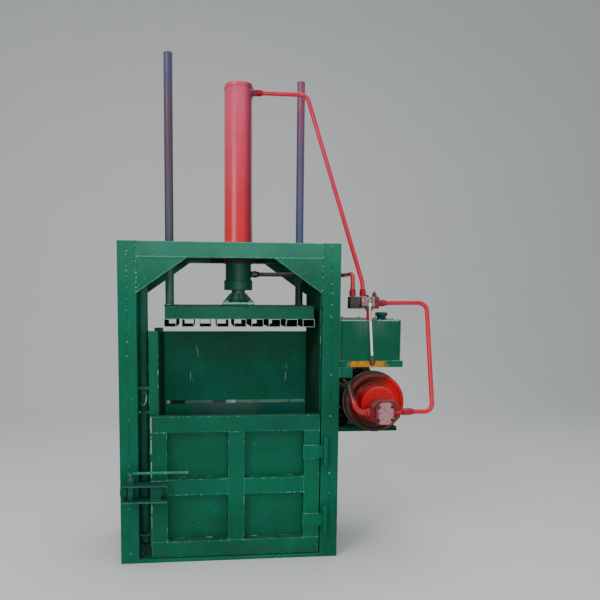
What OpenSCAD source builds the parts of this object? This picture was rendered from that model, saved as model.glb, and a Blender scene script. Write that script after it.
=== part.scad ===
// Vertical hydraulic recycling baler.
// Units are millimetres, +Z is up, +X is to the right of the operator and the
// operator stands on the -Y side. The origin lies on the floor, straight below
// the axis of the press cylinder.

/* [Portal frame] */
// Height of the four corner columns
frame_h = 1580; // [1540:1:1620]
// Overall depth over the front and rear columns
frame_d = 470; // [460:1:480]
// Width of a column, two channels welded toe to toe
col_w = 88; // [84:1:90]
// Depth of a column
col_d = 80; // [76:1:84]
// Wall thickness of the columns
col_t = 5; // [4:0.5:7]
// Left face of the left columns
left_x = -588; // [-600:1:-580]
// Right face of the right columns
right_x = 492; // [490:1:494]
// Height of the head beams
beam_h = 76; // [70:1:80]
// Flange width of the head beams
beam_f = 43; // [38:1:46]
// Reach of a head gusset along the beam
gus_x = 238; // [200:1:250]
// Drop of a head gusset along the column
gus_z = 168; // [140:1:180]

/* [Chamber] */
// Clear half width of the chamber
cham_x = 400; // [396:1:401]
// Top of the floor plate
floor_z = 64; // [62:1:70]
// Top edge of the chamber walls
wall_top = 1126; // [1100:1:1140]
// Top of the chamber posts
post_top = 1147; // [1142:1:1160]
// Thickness of the chamber sheets
sheet_t = 4; // [3:0.5:5]
// Pitch of the strap channels in the floor and the platen
tube_pitch = 86; // [82:1:88]
// Width of a strap channel tube
tube_w = 60; // [50:1:62]
// Height of a strap channel tube
tube_h = 40; // [36:1:42]
// Wall of a strap channel tube
tube_t = 3; // [2.5:0.5:4]

/* [Platen and guide rods] */
// Underside of the platen at the top of its stroke
platen_z = 1168; // [1160:1:1180]
// Half width of the platen
platen_x = 374; // [370:1:380]
// Half depth of the platen
platen_y = 182; // [176:1:184]
// Outer diameter of the guide rods
rod_d = 42.4; // [40:0.1:44]
// Height of the top ends of the guide rods
rod_top = 2474; // [2440:1:2500]
// Guide rod position across
rod_x = 347; // [340:1:350]
// Guide rod position front to rear
rod_y = 150; // [140:1:155]

/* [Press cylinder] */
// Outer diameter of the barrel
cyl_d = 146; // [140:1:148]
// Bore of the barrel
bore_d = 125; // [120:1:126]
// Top of the barrel
cyl_top = 2392; // [2380:1:2400]
// Diameter of the piston rod
prod_d = 70; // [66:1:72]

/* [Door] */
// Left edge of the door
door_l = -440; // [-444:1:-436]
// Right edge of the door
door_r = 398; // [394:1:399]
// Lower edge of the door
door_b = 25; // [24:1:30]
// Upper edge of the door
door_t = 734; // [730:1:738]
// Width of the door channels
door_m = 80; // [74:1:82]
// Depth of the door channels
door_d = 40; // [36:1:40]
// Hinge axis across
hinge_x = 425; // [423:1:428]
// Hinge axis front to rear
hinge_y = -249; // [-250:0.5:-248.5]
// Outer radius of the hinge knuckles
knuckle_r = 12.5; // [12:0.1:12.6]

/* [Power unit] */
// Left face of the oil tank
tank_l = 497; // [496:1:500]
// Right face of the oil tank
tank_r = 806; // [800:1:810]
// Underside of the oil tank
tank_b = 998; // [996:1:1000]
// Upper edge of the oil tank
tank_t = 1200; // [1190:1:1202]
// Motor axis across
mot_x = 667; // [665:1:669]
// Motor axis height
mot_z = 798; // [797:1:799]
// Radius of the motor flange
mot_fr = 152; // [148:1:153]
// Outer radius of the pressure pipes
pipe_r = 11; // [10:0.5:12]
// Outer radius of the suction pipe
suc_r = 14; // [13:0.5:15]

/* [Hidden] */
$fn = 96;
yf = -frame_d/2;
yr = frame_d/2;
lx1 = left_x + col_w;
rx0 = right_x - col_w;
beam_z = frame_h - beam_h;
wall_y = 205;
door_f = -237;
door_k = door_f + door_d + 4;
cham_f = -191;
tube_n = 9;
red = "#b9303b";
green = "#17624b";
dark = "#3a3835";
steel = "#9a9c9b";
latch_x = -532;
latch_y = -270;
pump_z = mot_z - 23;
gear_c = 46;
port_y = -395;
lev_y = -243;
lev_z = 1283;
val_x = 637;
lev_a = 13;
up_pts = [[86,0,2358],[352,0,2358],[612,-190,1392],[615.954,-190,1322.8]];
low_pts = [[66.5,0,1436],[563,0,1436],[563,-190,1436],[563,-190,1322]];
prs_pts = [[690,-190,1291],[948,-190,1293],[911,port_y,pump_z],[mot_x + 44,port_y,pump_z]];
suc_pts = [[519,-125,tank_b],[519,-125,892],[519,-318,892],[541,port_y,pump_z],[606,port_y,pump_z]];

// ---------- helpers ----------
module bx(x0, x1, y0, y1, z0, z1) translate([x0, y0, z0]) cube([x1 - x0, y1 - y0, z1 - z0]);
module cz(x, y, z0, z1, r) translate([x, y, z0]) cylinder(r = r, h = z1 - z0);
module cy(x, z, y0, y1, r) translate([x, y0, z]) rotate([-90, 0, 0]) cylinder(r = r, h = y1 - y0);
module cx(y, z, x0, x1, r) translate([x0, y, z]) rotate([0, 90, 0]) cylinder(r = r, h = x1 - x0);
// channel along X, its web at y0 and its toes at y1
module chan_x(x0, x1, y0, y1, z0, z1, t) {
  s = sign(y1 - y0);
  difference() {
    bx(x0, x1, min(y0, y1), max(y0, y1), z0, z1);
    bx(x0 - 1, x1 + 1, min(y0 + s*t, y1 + s), max(y0 + s*t, y1 + s), z0 + t, z1 - t);
  }
}
// rectangular tube along Y
module tube_y(x0, x1, y0, y1, z0, z1, t) difference() {
  bx(x0, x1, y0, y1, z0, z1);
  bx(x0 + t, x1 - t, y0 - 1, y1 + 1, z0 + t, z1 - t);
}
function unit(v) = v/norm(v);
// places its children so that their Z axis runs along d and their X axis along e
module along(p, d, e) {
  w = unit(d);
  u = unit(e - (e*w)*w);
  v = cross(w, u);
  multmatrix([[u[0], v[0], w[0], p[0]], [u[1], v[1], w[1], p[1]], [u[2], v[2], w[2], p[2]]]) children();
}
function side(d) = abs(unit(d)[2]) > 0.9 ? [1, 0, 0] : [0, 0, 1];
module ring_tube(h, r, ri) difference() { cylinder(r = r, h = h); translate([0, 0, -1]) cylinder(r = ri, h = h + 2); }
function bend_a(p, i) = acos(unit(p[i] - p[i-1])*unit(p[i+1] - p[i]));
function cut_l(p, i, rb) = (i == 0 || i == len(p) - 1) ? 0 : rb*tan(bend_a(p, i)/2);
// round pipe through the points p with bends of radius rb
module pipe_run(p, rb, r, ri) union() {
  for (i = [0 : len(p) - 2]) {
    d = p[i+1] - p[i];
    e0 = i == 0 ? 0 : 0.3;
    e1 = i == len(p) - 2 ? 0 : 0.3;
    a = p[i] + unit(d)*(cut_l(p, i, rb) - e0);
    l = norm(d) - cut_l(p, i, rb) - cut_l(p, i + 1, rb) + e0 + e1;
    along(a, d, side(d)) ring_tube(l, r, ri);
  }
  for (i = [1 : len(p) - 2]) {
    d1 = unit(p[i] - p[i-1]);
    d2 = unit(p[i+1] - p[i]);
    n = unit(d2 - (d1*d2)*d1);
    c = p[i] - d1*cut_l(p, i, rb) + n*rb;
    multmatrix([[-n[0], d1[0], cross(-n, d1)[0], c[0]], [-n[1], d1[1], cross(-n, d1)[1], c[1]], [-n[2], d1[2], cross(-n, d1)[2], c[2]]])
      rotate_extrude(angle = bend_a(p, i)) translate([rb, 0]) difference() { circle(r = r + 0.15); circle(r = ri - 0.15); }
  }
}
module hexnut(p, d, h, r, ri) along(p, d, side(d)) difference() {
  cylinder(r = r, h = h, $fn = 6);
  translate([0, 0, -1]) cylinder(r = ri, h = h + 2);
}

// ---------- frame ----------
module base_frame() color(green) {
  // front and rear sills
  difference() { bx(lx1, rx0, yf, yf + 60, 0, 20); bx(lx1 + 3, rx0 - 3, yf + 3, yf + 57, -1, 17); }
  chan_x(lx1, rx0, yr, yr - 60, 0, 60, 5);
  // longitudinal bearers under the floor
  for (x = [-450, -240, -30, 180, rx0 - 60])
    difference() { bx(x, x + 60, yf + 58, yr - 58, 0, 60); bx(x + 5, x + 55, yf + 57, yr - 57, -1, 55); bx(x - 1, x + 61, yf + 57, yf + 76, 20, 61); }
  // sheet that closes the bottom of the left gap
  bx(lx1 - 1, -449, -150, 150, 55, 60);
  // centre pad below the press axis
  bx(-33, 33, -25, 25, 0, 6);
  // side sills between the columns
  for (x = [left_x, rx0]) difference() {
    bx(x, x + col_w, yf + col_d, yr - col_d, 0, 60);
    bx(x + 5, x + col_w - 5, yf + col_d - 1, yr - col_d + 1, -1, 55);
  }
}
module column(x0, y0) difference() {
  bx(x0, x0 + col_w, y0, y0 + col_d, 0, frame_h);
  bx(x0 + col_t, x0 + col_w - col_t, y0 + col_t, y0 + col_d - col_t, 8, frame_h - 6);
  // open root of the long welds on the two faces
  for (y = [y0, y0 + col_d]) bx(x0 + col_w/2 - 2, x0 + col_w/2 + 2, y - 1.2, y + 1.2, 4, frame_h - 4);
}
module front_columns() color(green) { column(left_x, yf); column(rx0, yf); }
module rear_columns() color(green) { column(left_x, yr - col_d); column(rx0, yr - col_d); }
module head_beams() color(green) {
  chan_x(lx1, rx0, yf, yf + beam_f, beam_z, frame_h, 5);
  chan_x(lx1, rx0, yr, yr - beam_f, beam_z, frame_h, 5);
}
module gusset(y0) {
  for (s = [0, 1]) {
    x = s == 0 ? lx1 : rx0;
    k = s == 0 ? 1 : -1;
    translate([0, y0 + 8, 0]) rotate([90, 0, 0]) linear_extrude(8)
      polygon([[x, beam_z], [x, beam_z - gus_z], [x + k*6, beam_z - gus_z], [x + k*gus_x, beam_z - 3], [x + k*gus_x, beam_z]]);
  }
}
module head_gussets() color(green) { gusset(yf + 2); gusset(yr - 10); }
module head_cross_members() color(green) {
  for (x = [-140, 130]) bx(x, x + 10, yf + 5, yr - 5, beam_z + 5, frame_h - 5);
  for (s = [-1, 1]) difference() {
    bx(s*rod_x - 40, s*rod_x + 40, yf + 5, yr - 5, 1530, 1545);
    cz(s*rod_x, s*rod_y, 1500, 1600, 30.15);
  }
}
module cylinder_seat_plate() color(green) difference() {
  bx(-130, 130, -190, 190, 1530, 1555);
  cz(0, 0, 1500, 1600, cyl_d/2);
}
module guide_sleeves() color(green) for (s = [-1, 1]) difference() {
  cz(s*rod_x, s*rod_y, 1498, 1577, 30.15);
  cz(s*rod_x, s*rod_y, 1400, 1700, rod_d/2 + 0.08);
}
module left_side_panel() color(green) bx(lx1 - sheet_t, lx1, yf + col_d, yr - col_d, 60, 1400);
module right_wall() color(green) bx(cham_x, rx0, cham_f, wall_y, 60, 1400);
module rear_wall() color(green) bx(lx1, rx0, wall_y, wall_y + sheet_t, 60, wall_top);
module rear_wall_ribs() color(green)
  for (z = [100, 420, 740, 1060]) chan_x(lx1, rx0, wall_y + sheet_t, yr - 1, z, z + 50, 4);
module rear_liner() color("#4f7a70") bx(-cham_x + 2, cham_x - 2, wall_y - 6, wall_y, floor_z + tube_h, 736);
module left_wall() color(green) bx(-cham_x - sheet_t, -cham_x, cham_f, wall_y, 60, wall_top);
module chamber_posts() color(green) {
  for (y = [cham_f, wall_y - 46]) difference() {
    bx(-450, -cham_x - sheet_t, y, y + 46, 60, post_top);
    bx(-446, -cham_x - sheet_t - 4, y + 4, y + 42, 64, post_top - 4);
  }
  // tie bars to the left columns
  for (z = [120, 742]) {
    bx(lx1, -450, cham_f, cham_f + 36, z, z + 8);
    bx(lx1, -450, wall_y - 46, wall_y - 10, z, z + 8);
  }
}
module floor_plate() color(green) bx(-cham_x, cham_x, cham_f, wall_y, 60, floor_z);
module floor_tubes() color("#3f6659") for (i = [0 : tube_n - 1]) {
  x = (i - (tube_n - 1)/2)*tube_pitch;
  tube_y(x - tube_w/2, x + tube_w/2, cham_f, wall_y - 6, floor_z, floor_z + tube_h, tube_t);
}

// ---------- door ----------
module door_keeper() color(green) {
  bx(-586, -562, -262, yf, 352, 386);
  bx(-562, latch_x - 20.4, -262, latch_y + 19.2, 352, 386);
}
hinge_zs = [[126, 166, 228, 268], [476, 516, 578, 618]];
module hinge_knuckles() color(green) for (h = hinge_zs) for (k = [0, 2]) difference() {
  union() {
    cz(hinge_x, hinge_y, h[k] + (k == 2 ? 1 : 0), h[k + 1] - (k == 0 ? 1 : 0), knuckle_r);
    bx(hinge_x - 7, hinge_x + 9, hinge_y + 8, yf, h[k] + (k == 2 ? 3 : 2), h[k + 1] - (k == 0 ? 3 : 2));
  }
  cz(hinge_x, hinge_y, 0, 900, 7.05);
}
module hinge_pins() color(steel) for (h = hinge_zs) {
  cz(hinge_x, hinge_y, h[0] - 3, h[3], 7);
  cz(hinge_x, hinge_y, h[3], h[3] + 5, 10);
}
module hinge_straps() color(green) for (h = hinge_zs) difference() {
  union() {
    bx(316, hinge_x - 4, door_f - 8, door_f, h[1], h[2]);
    cz(hinge_x, hinge_y, h[1], h[2], knuckle_r);
  }
  cz(hinge_x, hinge_y, 0, 900, 7.05);
}
door_mid = (door_b + door_t)/2;
module door_frame() color(green) {
  cxm = (door_l + door_r)/2;
  difference() {
    bx(door_l, door_r, door_f, door_f + door_d, door_b, door_t);
    for (x = [[door_l + door_m, cxm - door_m/2], [cxm + door_m/2, door_r - door_m]])
      for (z = [[door_b + door_m, door_mid - door_m/2], [door_mid + door_m/2, door_t - door_m]])
        bx(x[0], x[1], door_f - 1, door_f + door_d + 1, z[0], z[1]);
    // hollow backs of the channels
    for (z = [door_b, door_mid - door_m/2, door_t - door_m])
      bx(door_l + 5, door_r - 5, door_f + 5, door_f + door_d + 1, z + 5, z + door_m - 5);
    for (x = [door_l, cxm - door_m/2, door_r - door_m])
      bx(x + 5, x + door_m - 5, door_f + 5, door_f + door_d + 1, door_b + 5, door_t - 5);
  }
}
module door_panel() color(green) bx(door_l, door_r, door_f + door_d, door_k, door_b, door_t);
module latch_plates() color(green) {
  difference() {
    union() {
      bx(-571, -356, -302, door_f, 405, 413);
      bx(-571, -356, -302, door_f, 326, 334);
    }
    cz(latch_x, latch_y, 300, 450, 16.05);
  }
  bx(-439, -389, -278, door_f, 334, 405);
}
module latch_handle() color(green) {
  difference() {
    union() {
      cz(latch_x, latch_y, 316, 448, 16);
      cz(latch_x, latch_y, 413.5, 423, 22);
      // cam finger behind the keeper
      translate([latch_x, latch_y, 354]) rotate([0, 0, 115]) translate([0, -6, 0]) cube([33, 12, 28]);
      cz(latch_x, latch_y, 448, 474, 11);
    }
    bx(latch_x - 30, latch_x + 30, -400, -200, 300, 316.5);
  }
  cx(latch_y, 466, latch_x - 14, -256, 6.5);
}

// ---------- press cylinder ----------
module cylinder_barrel() color(red) difference() {
  union() {
    cz(0, 0, 1489, cyl_top - 20, cyl_d/2);
    cz(0, 0, 1555, 1575, 115);
    intersection() { cx(0, 2358, 60, 86, 17); bx(50, 90, -20, 20, 2330, cyl_top - 20); }
  }
  cz(0, 0, 1480, cyl_top, bore_d/2);
  cx(0, 2358, 50, 90, 7);
}
module cylinder_end_cap() color(red) rotate_extrude()
  polygon([[0, cyl_top - 26], [62.2, cyl_top - 26], [62.2, cyl_top - 20], [73, cyl_top - 20], [73, cyl_top - 6], [71.2, cyl_top - 1.8], [67, cyl_top], [0, cyl_top]]);
module cylinder_gland() color(green) rotate_extrude()
  polygon([[prod_d/2 + 0.06, 1353], [72, 1353], [74, 1355], [74, 1401], [72, 1403], [69, 1403], [69, 1406], [66.5, 1406], [66.5, 1489], [62.3, 1489], [62.3, 1514], [prod_d/2 + 0.06, 1514]]);

// ---------- power unit ----------
module tank_body() color(green) difference() {
  bx(tank_l, tank_r, -215, 195, tank_b, tank_t);
  bx(tank_l + 4, tank_r - 4, -211, 191, tank_b + 4, tank_t + 1);
  cz(519, -125, tank_b - 1, tank_b + 5, suc_r - 3);
}
module tank_lid() color(green) difference() {
  bx(tank_l - 2, tank_r + 2, -217, 197, tank_t, tank_t + 5);
  cz(650, -187.5, tank_t - 1, tank_t + 6, 9);
  cz(738, -110, tank_t - 1, tank_t + 6, 16);
}
module filler_cap() color("#1d4a3c") {
  difference() { cz(738, -110, tank_t + 5, tank_t + 22, 22); cz(738, -110, tank_t + 4, tank_t + 22, 16); }
  cz(738, -110, tank_t + 22, tank_t + 43, 30);
}
module tank_brackets() color(green) {
  for (y = [[-218, -215, -188], [198, 195, 168]]) {
    bx(right_x, tank_r + 16, min(y[0], y[1]), max(y[0], y[1]), 968, tank_b);
    bx(right_x, tank_r + 16, min(y[1], y[2]), max(y[1], y[2]), tank_b - 3, tank_b);
  }
  tube_y(right_x, 556, yf, -170, 918, 968, 4);
  tube_y(right_x, 556, 170, yr, 918, 968, 4);
  // end plates of the stub tubes
  for (y = [yf + 1.5, yr - 5.5]) bx(right_x + 3.5, 552.5, y, y + 4, 921.5, 964.5);
}
module motor_shelf() color(green) difference() {
  union() {
    bx(right_x, 792, yf, 160, 660, 666);
    for (y = [yf, 154]) bx(right_x, 792, y, y + 6, 646, 660.5);
    bx(786, 792, yf + 5, 155, 646, 660.5);
  }
  // clearance round the motor flange and the bell housing
  cy(mot_x, mot_z, -290, -187, 153);
}
module motor_body() color(dark) difference() {
  union() {
    translate([mot_x, 150, mot_z]) rotate([90, 0, 0]) linear_extrude(349) difference() {
      union() {
        circle(r = 118);
        for (a = [0 : 12 : 348]) rotate(a) translate([0, -1.6]) square([129, 3.2]);
      }
      circle(r = 86);
    }
    // rear bearing shield
    difference() { cy(mot_x, mot_z, 138, 150, 116); cy(mot_x, mot_z, 130, 160, 17.05); }
    // feet
    for (s = [-1, 1]) for (y = [-150, 20]) {
      bx(mot_x + s*72 - 36, mot_x + s*72 + 36, y, y + 44, 666, 680);
      bx(mot_x + s*62 - 20, mot_x + s*62 + 20, y, y + 44, 668, 706);
    }
  }
  // flat for the terminal box
  bx(mot_x + 117.9, mot_x + 140, -66, 56, mot_z - 60, mot_z + 60);
  for (s = [-1, 1]) for (y = [-128, 42]) cz(mot_x + s*96, y, 660, 700, 6.5);
}
module motor_flange() color(dark) difference() {
  union() { cy(mot_x, mot_z, -217, -199, mot_fr); cy(mot_x, mot_z, -199, -188, 85.5); }
  cy(mot_x, mot_z, -220, -180, 19.05);
}
module fan_cover() color(dark) difference() {
  cy(mot_x, mot_z, 150, 206, 130);
  cy(mot_x, mot_z, 149, 203, 127.5);
  for (n = [[42, 8], [66, 12], [90, 18], [112, 22]]) for (i = [0 : n[1] - 1])
    translate([mot_x, 0, mot_z]) rotate([0, i*360/n[1], 0]) cy(n[0], 0, 200, 210, 6);
}
module terminal_box() color(dark) {
  difference() {
    bx(mot_x + 118, mot_x + 168, -60, 50, mot_z - 52, mot_z + 52);
    bx(mot_x + 122, mot_x + 164, -56, 46, mot_z - 48, mot_z + 48);
    cx(-5, mot_z, mot_x + 110, mot_x + 119, 12);
  }
  // lid and cable gland
  bx(mot_x + 168, mot_x + 173, -64, 54, mot_z - 56, mot_z + 56);
  difference() { cz(mot_x + 145, -5, mot_z - 76, mot_z - 52, 14); cz(mot_x + 145, -5, mot_z - 78, mot_z - 53, 8); }
}
module bell_housing() color(red) translate([mot_x, 0, mot_z]) rotate([90, 0, 0]) rotate_extrude()
  polygon([[118, 217], [147, 217], [147, 266], [144, 272], [138, 275], [131, 275], [125, 266], [104, 258], [93, 260],
    [88, 264], [88, 328], [83, 335], [24, 335], [24, 325], [72, 325], [72, 246], [118, 246]]);
module octa(w, h, c) polygon([[-w/2, -h/2 + c], [-w/2 + c, -h/2], [w/2 - c, -h/2], [w/2, -h/2 + c], [w/2, h/2 - c], [w/2 - c, h/2], [-w/2 + c, h/2], [-w/2, h/2 - c]]);
module pump_body() color(red) difference() {
  union() {
    translate([mot_x, -335, pump_z]) rotate([90, 0, 0]) linear_extrude(80) octa(88, 108, 22);
    cy(mot_x, mot_z, -335, -325, 23.9);
  }
  for (z = [mot_z, mot_z - gear_c]) cy(mot_x, z, -416, -385, 25.6);
  cy(mot_x, mot_z, -386, -320, 9.05);
  cy(mot_x, mot_z - gear_c, -386, -368, 9.05);
  cx(port_y, pump_z, mot_x - 60, mot_x - 12, 10);
  cx(port_y, pump_z, mot_x + 12, mot_x + 60, 7);
  for (s = [-1, 1]) for (t = [-1, 1]) cy(mot_x + s*33, pump_z + t*31, -416, -396, 4.6);
}
module pump_cover() color("#b08f8d") difference() {
  translate([mot_x, -415, pump_z]) rotate([90, 0, 0]) linear_extrude(20) octa(84, 104, 21);
  for (z = [mot_z, mot_z - gear_c]) cy(mot_x, z, -427, -410, 9.05);
  for (s = [-1, 1]) for (t = [-1, 1]) cy(mot_x + s*33, pump_z + t*31, -440, -410, 4.6);
}
module unit_bolts() color("#3b3330") {
  for (s = [-1, 1]) for (t = [-1, 1]) {
    cy(mot_x + s*33, pump_z + t*31, -435, -398, 4);
    translate([mot_x + s*33, -435, pump_z + t*31]) rotate([90, 0, 0]) cylinder(r = 8, h = 7, $fn = 6);
  }
  for (s = [-1, 1]) for (y = [-128, 42]) {
    cz(mot_x + s*96, y, 666.2, 680, 6);
    translate([mot_x + s*96, y, 680]) cylinder(r = 10.5, h = 8, $fn = 6);
  }
}
module pressure_pipe() color(red) pipe_run(prs_pts, 42, pipe_r, pipe_r - 3);
module upper_pipe() color(red) pipe_run(up_pts, 46, pipe_r, pipe_r - 3);
module lower_pipe() color(red) pipe_run(low_pts, 34, pipe_r, pipe_r - 3);
module suction_pipe() color(red) {
  pipe_run(suc_pts, 40, suc_r, suc_r - 3);
  // flange on the pump
  difference() {
    union() { bx(606, mot_x - 44, port_y - 19, port_y + 28, pump_z - 29, pump_z + 29); cx(port_y, pump_z, 588, 606, 20); }
    cx(port_y, pump_z, 580, mot_x, suc_r);
  }
}
module return_pipe() color(red) difference() {
  cz(650, -187.5, tank_t + 5, 1252, 13);
  cz(650, -187.5, tank_t, 1260, 9);
}
module pipe_unions() color(red) {
  r = pipe_r + 0.03;
  hexnut([615.77, -190, 1325.99], [-4, 0, 70], 24, 17.5, r);
  hexnut([563, -190, 1326], [0, 0, 1], 24, 17.5, r);
  hexnut([696, -190, 1291.05], [258, 0, 2], 30, 17.5, r);
  hexnut([765, port_y, pump_z], [1, 0, 0], 40, 17.5, r);
  hexnut([73, 0, 1436], [1, 0, 0], 24, 17.5, r);
  hexnut([92, 0, 2358], [1, 0, 0], 20, 17.5, r);
}
module valve_body() color("#5b5148") difference() {
  union() {
    bx(546, 588, -222, -160, 1262, 1322);
    bx(580, 610, -180, -160, 1270, 1312);
    bx(602, 690, -225, -150, 1262, 1322);
    cz(650, -187.5, 1252, 1262, 19);
    cy(val_x, 1300, -150, -138, 17);
    // ears of the lever pivot
    for (x = [618, 647]) bx(x, x + 9, -254, -225, 1272, 1294);
    cx(lev_y, lev_z, 615, 659, 4);
  }
  cy(val_x, 1300, -226, -142, 11.05);
  cz(650, -187.5, 1250, 1275, 9);
  cz(616, -190, 1305, 1330, 8);
  cz(563, -190, 1305, 1330, 8);
  cx(-190, 1291, 670, 700, 8);
}
module valve_spool() color(steel) {
  cy(val_x, 1300, -225, -205, 11);
  cy(val_x, 1300, -205, -195, 8);
  cy(val_x, 1300, -195, -175, 11);
  cy(val_x, 1300, -175, -165, 8);
  cy(val_x, 1300, -165, -152, 11);
  cy(val_x, 1300, -238, -225, 6);
  // eye that holds the short arm of the lever
  difference() {
    bx(val_x - 8, val_x + 8, lev_y - 7, lev_y + 7, 1296, 1306);
    bx(val_x - 6.2, val_x + 6.2, lev_y - 4.06, lev_y + 4.06, 1290, 1310);
  }
}
module valve_lever() color("#b9bcb6") difference() {
  union() {
    cx(lev_y, lev_z, 628.5, 645.5, 9);
    // short arm with a cross roller in the eye of the spool
    bx(val_x - 3, val_x + 3, lev_y - 2.5, lev_y + 2.5, lev_z, 1300);
    cx(lev_y, 1300, val_x - 6, val_x + 6, 4);
    translate([val_x, lev_y, lev_z]) rotate([180 - lev_a, 0, 0]) cylinder(r = 5.5, h = 286);
  }
  cx(lev_y, lev_z, 600, 680, 4.05);
}
module lever_knob() color("#3a221c") translate([val_x, lev_y, lev_z]) rotate([180 - lev_a, 0, 0]) difference() {
  translate([0, 0, 264]) rotate_extrude()
    polygon([[0, 0], [8, 0], [11, 2.5], [14, 9], [15, 19], [14.2, 29], [11.5, 35.5], [7, 39], [0, 40]]);
  translate([0, 0, 230]) cylinder(r = 5.5, h = 56);
}

// ---------- platen ----------
module platen_frame() color(green) difference() {
  union() {
    bx(-platen_x, platen_x, -platen_y, platen_y, platen_z + tube_h + 62, platen_z + tube_h + 68);
    chan_x(-platen_x + 4, platen_x - 4, -platen_y + 3, -platen_y + 40, platen_z + tube_h, platen_z + tube_h + 62, 5);
    chan_x(-platen_x + 4, platen_x - 4, platen_y - 3, platen_y - 40, platen_z + tube_h, platen_z + tube_h + 62, 5);
    for (y = [-48, 40]) bx(-platen_x + 4, platen_x - 4, y, y + 8, platen_z + tube_h, platen_z + tube_h + 62);
  }
  for (s = [-1, 1]) for (t = [-1, 1]) cz(s*62, t*62, 1200, 1300, 8.5);
}
module platen_tubes() color(green) for (i = [0 : tube_n - 1]) {
  x = (i - (tube_n - 1)/2)*tube_pitch;
  tube_y(x - tube_w/2, x + tube_w/2, -platen_y, platen_y, platen_z, platen_z + tube_h, tube_t);
}
plt = platen_z + tube_h + 68;
module rod_flange() color(green) difference() {
  union() {
    bx(-80, 80, -80, 80, plt, plt + 14);
    cz(0, 0, plt + 14, plt + 26, 50);
    for (a = [0 : 90 : 270]) rotate(a) translate([0, 4, 0]) rotate([90, 0, 0]) linear_extrude(8)
      polygon([[30, plt + 14], [76, plt + 14], [76, plt + 20], [41, plt + 62], [30, plt + 62]]);
  }
  cz(0, 0, plt - 1, plt + 80, prod_d/2);
  for (s = [-1, 1]) for (t = [-1, 1]) cz(s*62, t*62, plt - 1, plt + 20, 8.5);
}
module rod_flange_bolts() color("#4d6a5f") for (s = [-1, 1]) for (t = [-1, 1]) {
  translate([s*62, t*62, plt + 14]) cylinder(r = 13, h = 10, $fn = 6);
  cz(s*62, t*62, plt - 22, plt + 14, 7.9);
  translate([s*62, t*62, plt - 18]) cylinder(r = 13, h = 12, $fn = 6);
}
module guide_rods() color("#6b4a4e") for (s = [-1, 1]) difference() {
  cz(s*rod_x, s*rod_y, plt, rod_top, rod_d/2);
  cz(s*rod_x, s*rod_y, plt - 1, rod_top - 4, rod_d/2 - 4);
}
module piston_rod() color(steel) {
  cz(0, 0, plt, 2270, prod_d/2);
  // piston with its seal grooves
  rotate_extrude() polygon([[0, 2270], [62.42, 2270], [62.42, 2282], [58, 2282], [58, 2290], [62.42, 2290], [62.42, 2305], [58, 2305], [58, 2313], [62.42, 2313], [62.42, 2325], [0, 2325]]);
}

// ---------- motor rotor and pump gears ----------
module motor_rotor() color(steel) {
  cy(mot_x, mot_z, -285, 130, 19);
  cy(mot_x, mot_z, 130, 188, 17);
  cy(mot_x, mot_z, -110, 90, 84);
  // cooling fan
  cy(mot_x, mot_z, 160, 184, 30);
  for (a = [0 : 45 : 315]) translate([mot_x, 0, mot_z]) rotate([0, a, 0]) bx(25, 108, 162, 182, -2, 2);
  // coupling sleeve
  difference() { cy(mot_x, mot_z, -322, -240, 36); cy(mot_x, mot_z, -330, -287, 9); }
}
module gear2d(n, ro, rr, rp, wr, wp, wo) union() {
  circle(r = rr);
  for (i = [0 : n - 1]) rotate(i*360/n)
    polygon([[rr - 2, -wr/2], [rp, -wp/2], [ro, -wo/2], [ro, wo/2], [rp, wp/2], [rr - 2, wr/2]]);
}
module gear_at(z, ph) translate([mot_x, -385.1, z]) rotate([90, 0, 0]) rotate(ph) linear_extrude(29.8) gear2d(10, 25.4, 20, 23, 6.6, 5.6, 3.0);
module pump_drive_gear() color(steel) {
  gear_at(mot_z, 0);
  cy(mot_x, mot_z, -385.1, -287, 9);
  cy(mot_x, mot_z, -425, -414.9, 9);
}
module pump_driven_gear() color(steel) {
  gear_at(mot_z - gear_c, 18);
  cy(mot_x, mot_z - gear_c, -385.1, -370, 9);
  cy(mot_x, mot_z - gear_c, -425, -414.9, 9);
}

base_frame();
front_columns();
rear_columns();
head_beams();
head_gussets();
head_cross_members();
cylinder_seat_plate();
guide_sleeves();
left_side_panel();
right_wall();
rear_wall();
rear_wall_ribs();
rear_liner();
left_wall();
chamber_posts();
floor_plate();
floor_tubes();
door_keeper();
hinge_knuckles();
hinge_pins();
cylinder_barrel();
cylinder_end_cap();
cylinder_gland();
tank_body();
tank_lid();
filler_cap();
tank_brackets();
motor_shelf();
motor_body();
motor_flange();
fan_cover();
terminal_box();
bell_housing();
pump_body();
pump_cover();
unit_bolts();
pressure_pipe();
upper_pipe();
lower_pipe();
suction_pipe();
return_pipe();
pipe_unions();
valve_body();
valve_spool();
valve_lever();
lever_knob();
platen_frame();
platen_tubes();
rod_flange();
rod_flange_bolts();
guide_rods();
piston_rod();
door_frame();
door_panel();
hinge_straps();
latch_plates();
latch_handle();
motor_rotor();
pump_drive_gear();
pump_driven_gear();
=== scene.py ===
import math
import random

import bpy
from mathutils import Matrix, Vector


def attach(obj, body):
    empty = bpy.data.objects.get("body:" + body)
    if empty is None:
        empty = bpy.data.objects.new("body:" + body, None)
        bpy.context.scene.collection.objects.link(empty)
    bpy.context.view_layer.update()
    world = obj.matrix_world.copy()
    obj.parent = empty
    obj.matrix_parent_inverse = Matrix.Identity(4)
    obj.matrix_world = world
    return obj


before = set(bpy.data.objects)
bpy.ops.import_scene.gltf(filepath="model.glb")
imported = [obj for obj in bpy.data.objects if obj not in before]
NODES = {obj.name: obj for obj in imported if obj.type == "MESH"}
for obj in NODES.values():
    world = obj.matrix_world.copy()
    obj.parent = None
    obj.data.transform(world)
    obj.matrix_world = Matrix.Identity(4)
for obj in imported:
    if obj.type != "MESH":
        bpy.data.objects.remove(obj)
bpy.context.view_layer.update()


rnd = random.Random(20)


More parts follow.
